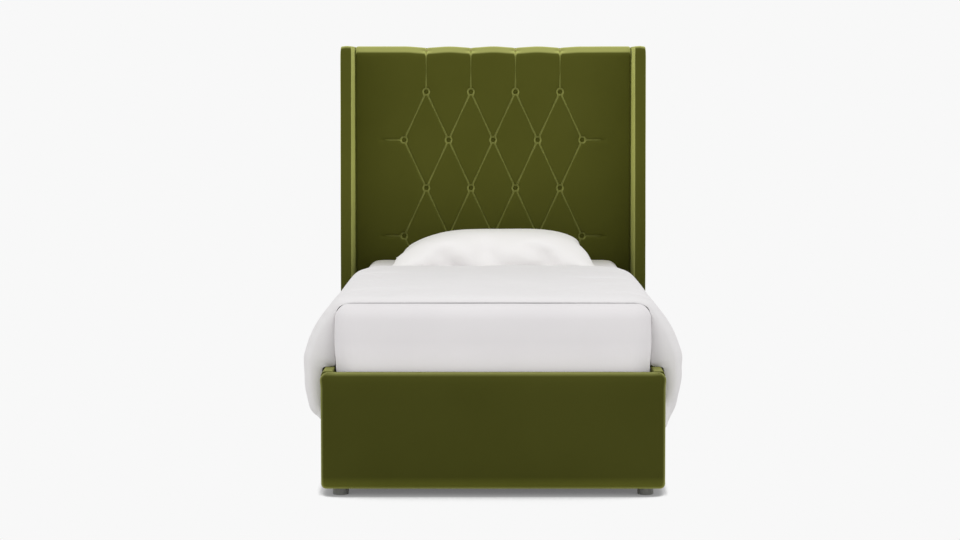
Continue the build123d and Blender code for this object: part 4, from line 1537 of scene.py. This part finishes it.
@dataclass
class Duvet:
    """The duvet: a soft quilt that lies over the mattress and hangs thickly down both sides.

    Its cross sections are worked out one by one along the bed. The reaches and hangs are shares of
    side_reach and side_hang at stations that lie evenly apart from the foot to the head. The other
    tables hold places of a section. A hem's is out from the rail and up from the hem. A rise is in from
    the widest place, with a share of the foot step, and up from the hem. A shoulder's is in from the
    mattress's side and down from the top, with a share of the head's droop.
    """

    cotton: bpy.types.Material
    thickness: float = 0.018
    against_x: float = 0.4888
    rail_x: float = 0.5285
    rail_z: float = 0.3788
    low_x: float = 0.4868
    fill_z: float = 0.46
    edge_z: float = 0.535
    edge_inset: float = 0.011
    edge_rise: float = 0.0285
    bed_inset: float = 0.0385
    bed_z: float = 0.5756
    flat_x: float = 0.3
    widest_drop: float = 0.192
    widest_lift: float = 0.004
    side_reach: float = 0.066
    side_hang: float = 0.378
    shoulder_out: float = 0.01
    shoulder_drop: float = 0.016
    shoulder_bulge: float = 0.0145
    head_droop: float = 0.02
    foot_step: float = 0.03
    end_radius: float = 0.03
    end_tuck: float = 0.002
    end_length: float = 0.05
    hem_thickness: float = 0.024
    fold_height: float = 0.0105
    fold_start: float = 0.03
    fold_run: float = 0.3
    top_run: float = 0.05
    side_swell: float = 0.0042
    top_swell: float = 0.005
    rumple_height: float = 0.0048
    pucker_height: float = 0.0012
    side_steps: int = 52
    top_steps: int = 58
    rings: int = 150
    end_rings: int = 7
    outer_hem: tuple[Place, ...] = ((0.012, 0.0), (0.026, 0.004))
    inner_hem: tuple[Place, ...] = ((0.004, 0.001), (0.0, 0.02))
    shoulders: tuple[tuple[float, float, float], ...] = ((0.012, 0.004, 0.1), (0.04, 0.0, 0.0))
    rises: tuple[tuple[float, float, float], ...] = (
        (0.022, 0.8, 0.022),
        (0.014, 1.0, 0.055),
        (0.006, 0.1, 0.1),
        (0.004, 0.0, 0.13),
    )
    left_reach: tuple[float, ...] = (0.98, 1, 0.93, 0.83, 0.78, 0.83, 0.9, 0.92, 0.8)
    right_reach: tuple[float, ...] = (0.98, 0.99, 0.87, 0.8, 0.83, 0.93, 0.96, 0.9, 0.74)
    left_hang: tuple[float, ...] = (1, 1.01, 0.98, 0.96, 0.97, 0.99, 1.01, 1, 0.98)
    right_hang: tuple[float, ...] = (1.07, 1.03, 1.04, 1.06, 1.04, 0.99, 0.97, 0.98, 1)

    def __post_init__(self) -> None:
        """Read the place of the duvet."""
        self.low, self.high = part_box("duvet")
        self.top = self.bed_z + self.thickness

    def _hem(self, side: Side, share: float) -> float:
        """The height of the hem on one side."""
        hangs = self.left_hang if side is Side.LEFT else self.right_hang
        return self.top - self.side_hang * between(hangs, share, eased=True)

    def _outer(self, side: Side, share: float) -> tuple[list[Vector], list[Vector]]:
        """Lay out the outside of one half section.

        Args:
            side: Which half.
            share: The section's place, from 0 at the foot to 1 at the head.

        Returns:
            Its hanging part from the hem up, and its top part from the shoulder to the middle.
        """
        reaches = self.left_reach if side is Side.LEFT else self.right_reach
        widest = self.rail_x + self.side_reach * between(reaches, share, eased=True)
        hem, high = self._hem(side, share), self.top - self.widest_drop
        droop = self.head_droop * smoothstep((share - 0.88) / 0.12)
        step = self.foot_step * (1 - smoothstep(share / 0.12)) if side is Side.RIGHT else 0.0
        hanging = upright(
            [
                *((self.rail_x + out, hem + rise) for out, rise in self.outer_hem),
                *((widest - inset - step * part, hem + rise) for inset, part, rise in self.rises),
                (widest, high + self.widest_lift),
            ]
        )
        shoulder = self.against_x + self.shoulder_out
        start = Vector((widest, 0, high))
        run = Vector((shoulder - widest, 0, self.top - self.shoulder_drop - high))
        out = Vector((run.z, 0, -run.x)).normalized()
        for along in (index / 6 for index in range(1, 6)):
            hanging.append(start + run * along + out * (self.shoulder_bulge * math.sin(math.pi * along)))
        over = upright(
            [
                (shoulder - droop, self.top - self.shoulder_drop),
                *(
                    (self.against_x - inset - droop, self.top - fall - droop * part)
                    for inset, fall, part in self.shoulders
                ),
                (self.flat_x, self.top),
                (0.0, self.top),
            ]
        )
        return [*hanging, over[0]], over

    def _inner(self, side: Side, share: float) -> tuple[list[Vector], list[Vector]]:
        """Lay out the inside of one half section.

        Args:
            side: Which half.
            share: The section's place, from 0 at the foot to 1 at the head.

        Returns:
            The same two parts as the outside has.
        """
        hem = self._hem(side, share)
        hanging = upright(
            [
                *((self.rail_x + out, hem + rise) for out, rise in self.inner_hem),
                (self.rail_x, self.rail_z),
                (self.low_x, self.rail_z),
                (self.against_x, self.fill_z),
                (self.against_x, self.edge_z),
                (self.against_x - self.edge_inset, self.edge_z + self.edge_rise),
            ]
        )
        flat = ((self.against_x - self.bed_inset, self.bed_z), (self.flat_x, self.bed_z), (0.0, self.bed_z))
        return hanging, [hanging[-1], *upright(flat)]

    @staticmethod
    def _walk(points: list[Vector], count: int) -> list[Vector]:
        """Find points at equal steps along a line of points.

        Args:
            points: The line.
            count: The number of steps.

        Returns:
            The points, both ends included.
        """
        lengths = [0.0]
        for first, second in zip(points, points[1:]):
            lengths.append(lengths[-1] + (second - first).length)
        result, index = [], 0
        for step in range(count + 1):
            target = lengths[-1] * step / count
            while index < len(points) - 2 and lengths[index + 1] < target:
                index += 1
            span = max(1e-9, lengths[index + 1] - lengths[index])
            result.append(points[index].lerp(points[index + 1], (target - lengths[index]) / span))
        return result

    def _chain(
        self, halves: Callable[[Side, float], tuple[list[Vector], list[Vector]]], share: float, rounds: int
    ) -> list[Vector]:
        """Join two half sections from the left hem over the top to the right hem.

        Args:
            halves: Which lays out a half: the outside or the inside.
            share: The section's place, from 0 at the foot to 1 at the head.
            rounds: How many times the chain is evened out.

        Returns:
            The points of the whole section.
        """
        half = {}
        for side in Side:
            hanging, over = halves(side, share)
            points = self._walk(hanging, self.side_steps)[:-1] + self._walk(over, self.top_steps)
            half[side] = [Vector((point.x * side.value, 0, point.z)) for point in points]
        chain = half[Side.LEFT] + half[Side.RIGHT][-2::-1]
        for _ in range(rounds):
            trios = zip(chain, chain[1:], chain[2:])
            inner = [(before + point * 2 + after) / 4 for before, point, after in trios]
            chain = [chain[0], *inner, chain[-1]]
        return chain

    def _relief(self, place: Vector, share: float) -> float:
        """Work out the folds, creases and puckers.

        Args:
            place: A place on the smooth outside.
            share: The section's place, from 0 at the foot to 1 at the head.

        Returns:
            How far the outside stands out there.
        """
        side = math.copysign(1.0, place.x)
        drop = smoothstep((self.top - self.fold_start - place.z) / self.fold_run)
        on_top = 1 - smoothstep((self.top - place.z) / self.top_run)
        wander = 1.8 * ripple(Vector((place.y, place.z * 0.6, side)), 2.4, 4.0)
        strength = 0.55 + 0.45 * ripple(Vector((place.y, 0, side)), 2.2, 6.0)
        folds = math.sin(place.y * 17 + 1.7 * side + wander)
        folds += 0.45 * math.sin(place.y * 37 + wander * 2 + side)
        swell = ripple(Vector((place.x * 2, place.y * 5, place.z * 3)), 2.0, 7.0)
        rumple = ripple(Vector((place.x + 0.3 * place.y, place.y * 1.7, 0)), 7.0, 2.0)
        hem = max(1 - smoothstep(share / 0.035), 1 - smoothstep((1 - share) / 0.035))
        relief = self.fold_height * drop * strength * folds * smoothstep(share / 0.08 + 0.25)
        relief += self.side_swell * drop * swell
        relief += self.top_swell * on_top * ripple(Vector((place.x, place.y * 1.3, 0)), 3.1, 9.0)
        relief += self.rumple_height * (0.4 + 0.6 * on_top) * (abs(rumple) ** 0.7 - 0.35)
        relief -= sum(crease.depth_at(place.x, place.y) for crease in CREASES)
        pucker = math.sin(place.x * 95 + place.z * 80 + 2 * ripple(place, 9.0, 1.0))
        return relief + self.pucker_height * hem * pucker

    def _sections(self) -> Iterator[tuple[float, float, float]]:
        """Lay out the cross sections from the foot to the head.

        Yields:
            Each as its y, which end it rounds off and how far round that end it lies.
        """
        start, end = self.low.y, self.high.y
        for index in range(self.end_rings):
            yield start, -1.0, math.pi / 2 * (1 - index / self.end_rings)
        run = end - start - 2 * self.end_length
        for index in range(self.rings + 1):
            yield start + self.end_length + run * index / self.rings, 0.0, 0.0
        for index in range(self.end_rings):
            yield end, 1.0, math.pi / 2 * (index + 1) / self.end_rings

    def _section(self, y: float, end: float, turn: float) -> tuple[list[Vector], list[Vector]]:
        """Work out one cross section, from the left hem to the right hem.

        Args:
            y: The section's place along the bed.
            end: Which end it closes: -1 for the foot, 1 for the head and 0 for neither.
            turn: How far round the end it lies, from nothing to a quarter turn.

        Returns:
            The points of the outside and of the inside, in pairs.
        """
        share = (y - self.low.y) / (self.high.y - self.low.y)
        outer = self._chain(self._outer, share, 10)
        inner = self._chain(self._inner, share, 2)
        last = len(outer) - 1
        place_y = y - end * self.end_length * (1 - math.sin(turn))
        outside, inside = [], []
        for index, (point, back) in enumerate(zip(outer, inner)):
            before, after = outer[max(0, index - 1)], outer[min(last, index + 1)]
            out = Vector((before.z - after.z, 0, after.x - before.x)).normalized()
            across = back - point
            under = min(self.end_tuck, across.length / 2)
            over = min(self.end_radius, across.length - under)
            way = across.normalized() * (1 - math.cos(turn))
            lifted = self._relief(Vector((point.x, y, point.z)), share)
            hemmed = min(1.0, across.length / self.hem_thickness) * min(index, last - index, 6) / 6
            shown = point + out * lifted * hemmed * math.cos(turn) + way * over
            hidden = back - way * under
            outside.append(Vector((shown.x, place_y, shown.z)))
            inside.append(Vector((hidden.x, place_y, hidden.z)))
        return outside, inside

    def build(self) -> None:
        """Make the duvet: an outer and an inner sheet, joined round their edges."""
        sections = [self._section(*place) for place in self._sections()]
        shape = bmesh.new()
        for layer in range(2):
            places = grid_sheet(shape, len(sections[0][0]), len(sections))
            for (column, row), vertex in places.items():
                vertex.co = sections[row][layer][column]
        bmesh.ops.bridge_loops(shape, edges=[edge for edge in shape.edges if edge.is_boundary])
        bmesh.ops.recalc_face_normals(shape, faces=shape.faces)
        piece = make_piece("duvet_quilt", shape, self.cotton, "duvet", "duvet")


@dataclass
class Pillow:
    """The pillow in its cotton case, blown up from a flat bag so that its seams pucker."""

    cotton: bpy.types.Material
    length: float = 0.79
    depth: float = 0.53
    flat_thickness: float = 0.016
    corner_radius: float = 0.05
    seam_share: float = 0.07
    left_power: float = 3.1
    right_power: float = 5.6
    shoulder: float = 0.8
    easings: int = 6
    ease_margin: float = 0.045
    ease_step: float = 0.014
    stations: int = 48
    spacing: float = 0.0095
    long_dip: float = 0.02
    deep_dip: float = 0.05
    hem_place: float = -0.86
    hem_width: float = 0.008
    hem_groove: float = 0.0025
    underlay: float = 0.0005
    quick_swell: float = 0.06
    frames: int = 26
    pressure: float = 5.0

    def build(self) -> None:
        """Make the pillow."""
        low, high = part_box("pillow")
        centre = (low + high) / 2
        half = Vector((self.length / 2, self.depth / 2, self.flat_thickness / 2))
        shape = box_shape(centre - half, centre + half)
        round_edges(shape, lambda edge: runs_along(edge, 2), self.corner_radius, 8)
        lattice(shape, self.spacing)
        piece = make_piece("pillow_cased", shape, self.cotton, "pillow", "pillow")
        self._inflate(piece)
        self._ease(piece, centre)
        self._fit(piece, low, high)
        smooth = piece.modifiers.new("smooth", "SUBSURF")
        smooth.levels = smooth.render_levels = 1
        settle(piece)
        piece.data.shade_smooth()

    def _swell(self, piece: bpy.types.Object, centre: Vector) -> None:
        """Swell the bag by a formula, as a quick stand-in for the blown-up shape.

        Args:
            piece: The pillow.
            centre: Its middle.
        """
        for vertex in piece.data.vertices:
            across = (vertex.co.x - centre.x) / (self.length / 2)
            deep = (vertex.co.y - centre.y) / (self.depth / 2)
            bulge = max(0.0, 1 - across**4) * max(0.0, 1 - deep**2)
            vertex.co.z += math.copysign(self.quick_swell * bulge**0.7, vertex.co.z - centre.z)

    def _inflate(self, piece: bpy.types.Object) -> None:
        """Blow the bag up as cloth, without gravity.

        Args:
            piece: The pillow, as a flat bag.
        """
        scene = bpy.context.scene
        cloth = piece.modifiers.new("cloth", "CLOTH")
        cloth.settings.quality = 6
        cloth.settings.mass = 0.25
        cloth.settings.tension_stiffness = 18
        cloth.settings.compression_stiffness = 18
        cloth.settings.shear_stiffness = 8
        cloth.settings.bending_stiffness = 0.35
        cloth.settings.use_pressure = True
        cloth.settings.uniform_pressure_force = self.pressure
        cloth.settings.effector_weights.gravity = 0
        cloth.settings.shrink_min = 0.0
        cloth.point_cache.frame_start = 1
        cloth.point_cache.frame_end = self.frames
        for frame in range(1, self.frames + 1):
            scene.frame_set(frame)
        settle(piece)
        scene.frame_set(1)

    def _ease(self, piece: bpy.types.Object, centre: Vector) -> None:
        """Smooth the creases out of the middle, and leave the puckers along the seam.

        Args:
            piece: The pillow.
            centre: Its middle.
        """
        shape = bmesh.new()
        shape.from_mesh(piece.data)
        for index in range(self.easings):
            margin = self.ease_margin + self.ease_step * index
            chosen = [
                vertex
                for vertex in shape.verts
                if self.length / 2 - abs(vertex.co.x - centre.x) > margin
                and self.depth / 2 - abs(vertex.co.y - centre.y) > margin
            ]
            for _ in range(3):
                bmesh.ops.smooth_vert(
                    shape, verts=chosen, factor=0.5, use_axis_x=True, use_axis_y=True, use_axis_z=True
                )
        shape.to_mesh(piece.data)
        shape.free()

    def _crown(self, across: float) -> float:
        """The height of the pillow's outline at a place from -1, left, to 1, right, as a share."""
        power = self.left_power if across < 0 else self.right_power
        return max(0.0, 1 - abs(across) ** power) ** self.shoulder

    def _lifts(self, places: list[Place]) -> list[float]:
        """Work out how much to raise the crown to bring it to the outline.

        Args:
            places: The vertices above the seam, as x from -1 to 1 and height as a share.

        Returns:
            The factor for each station across the pillow.
        """
        tops = [0.05] * (self.stations + 1)
        for across, height in places:
            station = round((across + 1) / 2 * self.stations)
            tops[station] = max(tops[station], height)
        lifts = [self._crown(2 * index / self.stations - 1) / top for index, top in enumerate(tops)]
        return evened([min(1.5, max(0.55, lift)) for lift in lifts], 4)

    @staticmethod
    def _boxed(piece: bpy.types.Object) -> tuple[list[float], list[float], list[list[float]]]:
        """Measure a piece against the box round it.

        Args:
            piece: The piece.

        Returns:
            The box's lowest and highest corner, and each vertex's place in it from 0 to 1.
        """
        vertices = piece.data.vertices
        least = [min(vertex.co[axis] for vertex in vertices) for axis in range(3)]
        most = [max(vertex.co[axis] for vertex in vertices) for axis in range(3)]
        shares = [
            [(vertex.co[axis] - least[axis]) / (most[axis] - least[axis]) for axis in range(3)]
            for vertex in vertices
        ]
        return least, most, shares

    def _straighten(self, piece: bpy.types.Object, along: int, dip: float) -> None:
        """Push the seams that the blowing up drew in back towards the edges of the case.

        Args:
            piece: The pillow.
            along: The axis, 0 or 1, along which the two seams run.
            dip: How far their middles may stay drawn in, as a share of the pillow's half size.
        """
        other = 1 - along
        least, most, shares = self._boxed(piece)
        reach = [0.3] * (self.stations + 1)
        for share in shares:
            station = round(share[along] * self.stations)
            reach[station] = max(reach[station], abs(2 * share[other] - 1))
        first = round(0.1 * self.stations)
        for index in range(first):
            reach[index] = reach[first]
            reach[-1 - index] = reach[-1 - first]
        reach = evened(reach, 5)
        half = (most[other] - least[other]) / 2
        for vertex, share in zip(piece.data.vertices, shares):
            wanted = 1 - dip * (1 - (2 * share[along] - 1) ** 2)
            actual = between(reach, share[along])
            vertex.co[other] = least[other] + half * (1 + (2 * share[other] - 1) * wanted / actual)

    def _fit(self, piece: bpy.types.Object, low: Vector, high: Vector) -> None:
        """Bring the blown-up bag to the pillow's real size and outline, with its underside flat.

        Args:
            piece: The pillow.
            low: The lowest corner of its solid.
            high: The highest corner.
        """
        self._straighten(piece, 0, self.deep_dip)
        self._straighten(piece, 1, self.long_dip)
        shares = self._boxed(piece)[2]
        lifts = self._lifts([(2 * x - 1, 2 * z - 1) for x, _, z in shares if z > 0.5])
        room = high.z - low.z - self.underlay
        for vertex, (x, y, z) in zip(piece.data.vertices, shares):
            if z < 0.5:
                height = self.seam_share * (z / 0.5) ** 0.8
            else:
                raised = min(1.0, (2 * z - 1) * between(lifts, x))
                groove = math.exp(-(((2 * x - 1 - self.hem_place) / self.hem_width) ** 2))
                height = self.seam_share + (1 - self.seam_share) * raised
                height = max(0.0, height - groove * self.hem_groove / room)
            vertex.co.x = low.x + (high.x - low.x) * x
            vertex.co.y = low.y + (high.y - low.y) * y
            vertex.co.z = low.z + self.underlay + room * height


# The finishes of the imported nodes

# The pale and the dark tone of each kind of wood.
WOODS = {
    "frame_wood": ((0.62, 0.4, 0.2, 1.0), (0.42, 0.24, 0.1, 1.0)),
    "slat_wood": ((0.68, 0.47, 0.26, 1.0), (0.5, 0.3, 0.14, 1.0)),
    "plywood": ((0.56, 0.37, 0.2, 1.0), (0.38, 0.22, 0.1, 1.0)),
}
OTHER_FINISHES = {finish.name: finish for finish in (Webbing(), FOOT_PLASTIC, ZINC_STEEL)}


@dataclass
class FrameFinishes:
    """Gives the boards, slats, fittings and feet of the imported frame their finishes."""

    record: dict
    nodes: dict[str, bpy.types.Object]

    @staticmethod
    def _grain(node: bpy.types.Object) -> GrainAxis:
        """The axis along which a piece of wood is longest."""
        low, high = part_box(node.name)
        return GrainAxis(max(range(3), key=lambda axis: high[axis] - low[axis]))

    @staticmethod
    def _finish(slot: str, axis: GrainAxis | None) -> Finish:
        """The finish of one slot, with its grain along an axis where it is wood."""
        if axis is None:
            return OTHER_FINISHES[slot]
        return Timber(f"{slot}_{axis.name.lower()}", *WOODS[slot], axis)

    def build(self) -> None:
        """Put one finish on every node, and make each finish only once."""
        made: dict[tuple[str, GrainAxis | None], bpy.types.Material] = {}
        for entry in self.record["subparts"]:
            node = self.nodes[entry["node"]]
            slot = entry["material_slot"]
            if node.hide_render:
                continue
            axis = self._grain(node) if slot in WOODS else None
            if (slot, axis) not in made:
                made[slot, axis] = self._finish(slot, axis).material()
            node.data.materials.clear()
            node.data.materials.append(made[slot, axis])
            LOG.info("%s: %s", node.name, made[slot, axis].name)


# The studio


@dataclass(frozen=True)
class Lamp:
    """A soft square lamp that points at a target."""

    name: str
    place: tuple[float, float, float]
    target: tuple[float, float, float]
    size: float
    watts: float

    def build(self) -> None:
        """Hang the lamp."""
        data = bpy.data.lights.new(self.name, "AREA")
        data.shape = "SQUARE"
        data.size = self.size
        data.energy = self.watts
        lamp = put(self.name, data)
        lamp.location = self.place
        aim = Vector(self.target) - Vector(self.place)
        lamp.rotation_euler = aim.to_track_quat("-Z", "Y").to_euler()


@dataclass
class Studio:
    """A pale floor, soft light from all round and above, and the camera in front of the bed."""

    backdrop: float = 0.939
    sky_strength: float = 0.87
    paint: float = 0.85
    floor_half: float = 30.0
    contact_reach: float = 1.1
    beside_start: float = 0.53
    beside_end: float = 0.56
    open_floor: float = 0.56
    camera_place: tuple[float, float, float] = (0.0, -7.38, 1.2093)
    pitch: float = 0.0553
    sensor: float = 36.0
    lens: float = 79.24
    shift_x: float = -0.01367
    shift_y: float = -0.0573
    sight: float = 60.0
    contact_shades: tuple[tuple[float, float], ...] = ((0.0, 0.115), (0.14, 0.26), (0.4, 0.33), (0.5, 0.5))
    lamps: tuple[Lamp, ...] = (
        Lamp("front_lamp", (0.0, -2.7, 4.2), (0.0, 0.6, 0.8), 3.4, 34.0),
        Lamp("top_lamp", (0.0, 1.2, 4.2), (0.0, 0.4, 0.4), 3.0, 6.0),
    )

    def build_camera(self) -> None:
        """Set the camera at the photograph's place."""
        data = bpy.data.cameras.new("camera")
        data.sensor_width = self.sensor
        data.lens = self.lens
        data.shift_x = self.shift_x
        data.shift_y = self.shift_y
        data.clip_end = self.sight
        camera = put("camera", data)
        camera.location = self.camera_place
        camera.rotation_euler = (math.pi / 2 - self.pitch, 0.0, 0.0)
        bpy.context.scene.camera = camera

    def build_world(self) -> None:
        """Make the sky: pale for lighting, and the plain backdrop where it is seen."""
        world = bpy.data.worlds.new("studio")
        world.use_nodes = True
        bpy.context.scene.world = world
        graph = Graph(world.node_tree)
        light, plain = (
            graph.node("ShaderNodeBackground", {}, {"Color": grey(level), "Strength": strength})
            for level, strength in ((1.0, self.sky_strength), (self.backdrop, 1.0))
        )
        mixed = graph.node("ShaderNodeMixShader", {}, {0: self._seen(graph), 1: light, 2: plain})
        graph.node("ShaderNodeOutputWorld", {}, {"Surface": mixed})

    @staticmethod
    def _seen(graph: Graph) -> Signal:
        """One where a ray comes from the camera, a glossy surface or glass."""
        camera, glossy, through = (
            graph.node("ShaderNodeLightPath", output=f"Is {kind} Ray")
            for kind in ("Camera", "Glossy", "Transmission")
        )
        return graph.node("ShaderNodeMath", {"operation": "MAXIMUM"}, {0: camera, 1: glossy + through})

    def _floor_material(self) -> bpy.types.Material:
        """Make the floor's paint, which is seen as the backdrop's tone with a contact shadow.

        Returns:
            The new material.
        """
        material, graph = new_material("floor_paint")
        reach = {"Distance": self.contact_reach}
        open_share = graph.node("ShaderNodeAmbientOcclusion", {"samples": 24}, reach, "AO")
        across = graph.part(graph.place(), "X")
        aside = graph.node("ShaderNodeMath", {"operation": "ABSOLUTE"}, {0: across})
        beside = graph.limit(aside, self.beside_start, self.beside_end)
        stops = [(place, grey(level)) for place, level in self.contact_shades]
        stops.append((self.open_floor, grey(self.backdrop)))
        shade = graph.node("ShaderNodeValToRGB", {"stops": stops}, {"Fac": open_share + beside * 0.25})
        paint = graph.node("ShaderNodeBsdfDiffuse", {}, {"Color": grey(self.paint)})
        shown = graph.node("ShaderNodeEmission", {}, {"Color": shade, "Strength": 1.0})
        mixed = graph.node("ShaderNodeMixShader", {}, {0: self._seen(graph), 1: paint, 2: shown})
        graph.node("ShaderNodeOutputMaterial", {}, {"Surface": mixed})
        return material

    def build_floor(self) -> None:
        """Make the floor."""
        shape = bmesh.new()
        bmesh.ops.create_grid(shape, x_segments=1, y_segments=1, size=self.floor_half)
        mesh = bpy.data.meshes.new("floor")
        shape.to_mesh(mesh)
        shape.free()
        mesh.materials.append(self._floor_material())
        put("floor", mesh)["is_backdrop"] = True

    def build(self) -> None:
        """Make the whole studio."""
        bpy.context.scene.view_settings.view_transform = "Standard"
        self.build_camera()
        self.build_world()
        self.build_floor()
        for lamp in self.lamps:
            lamp.build()


def corners(box: tuple[Vector, Vector]) -> list[list[float]]:
    """Two corners as plain lists of numbers."""
    return [list(map(float, corner)) for corner in box]


def main() -> None:
    """Dress the bed and light it."""
    logging.basicConfig(level=logging.INFO, format="%(name)s %(message)s")
    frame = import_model()
    cad_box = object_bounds()
    Studio().build()
    velvet = Velvet().material()
    TuftedHeadboard(velvet).build()
    for side in Side:
        PaddedWing(side, velvet).build()
        PaddedRail(side, velvet).build()
    FootRail(velvet).build()
    # The sheet's lift is painted light on the mattress's side, low down.
    sheet = Cotton("sheet_cotton", (0.785, 0.762, 0.77, 1.0), (0.765, 0.742, 0.75, 1.0), lift=0.17)
    SprungMattress(Ticking().material(), sheet.material()).build()
    quilt = Cotton("duvet_cotton", (0.795, 0.78, 0.782, 1.0), (0.78, 0.765, 0.767, 1.0))
    Duvet(quilt.material()).build()
    case = Cotton("pillow_cotton", (0.9, 0.884, 0.874, 1.0), (0.885, 0.869, 0.859, 1.0))
    Pillow(case.material()).build()
    FrameFinishes(frame["record"], frame["nodes"]).build()
    {"cad": corners(cad_box), "visual": corners(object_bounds())}


if __name__ == "__main__":
    main()
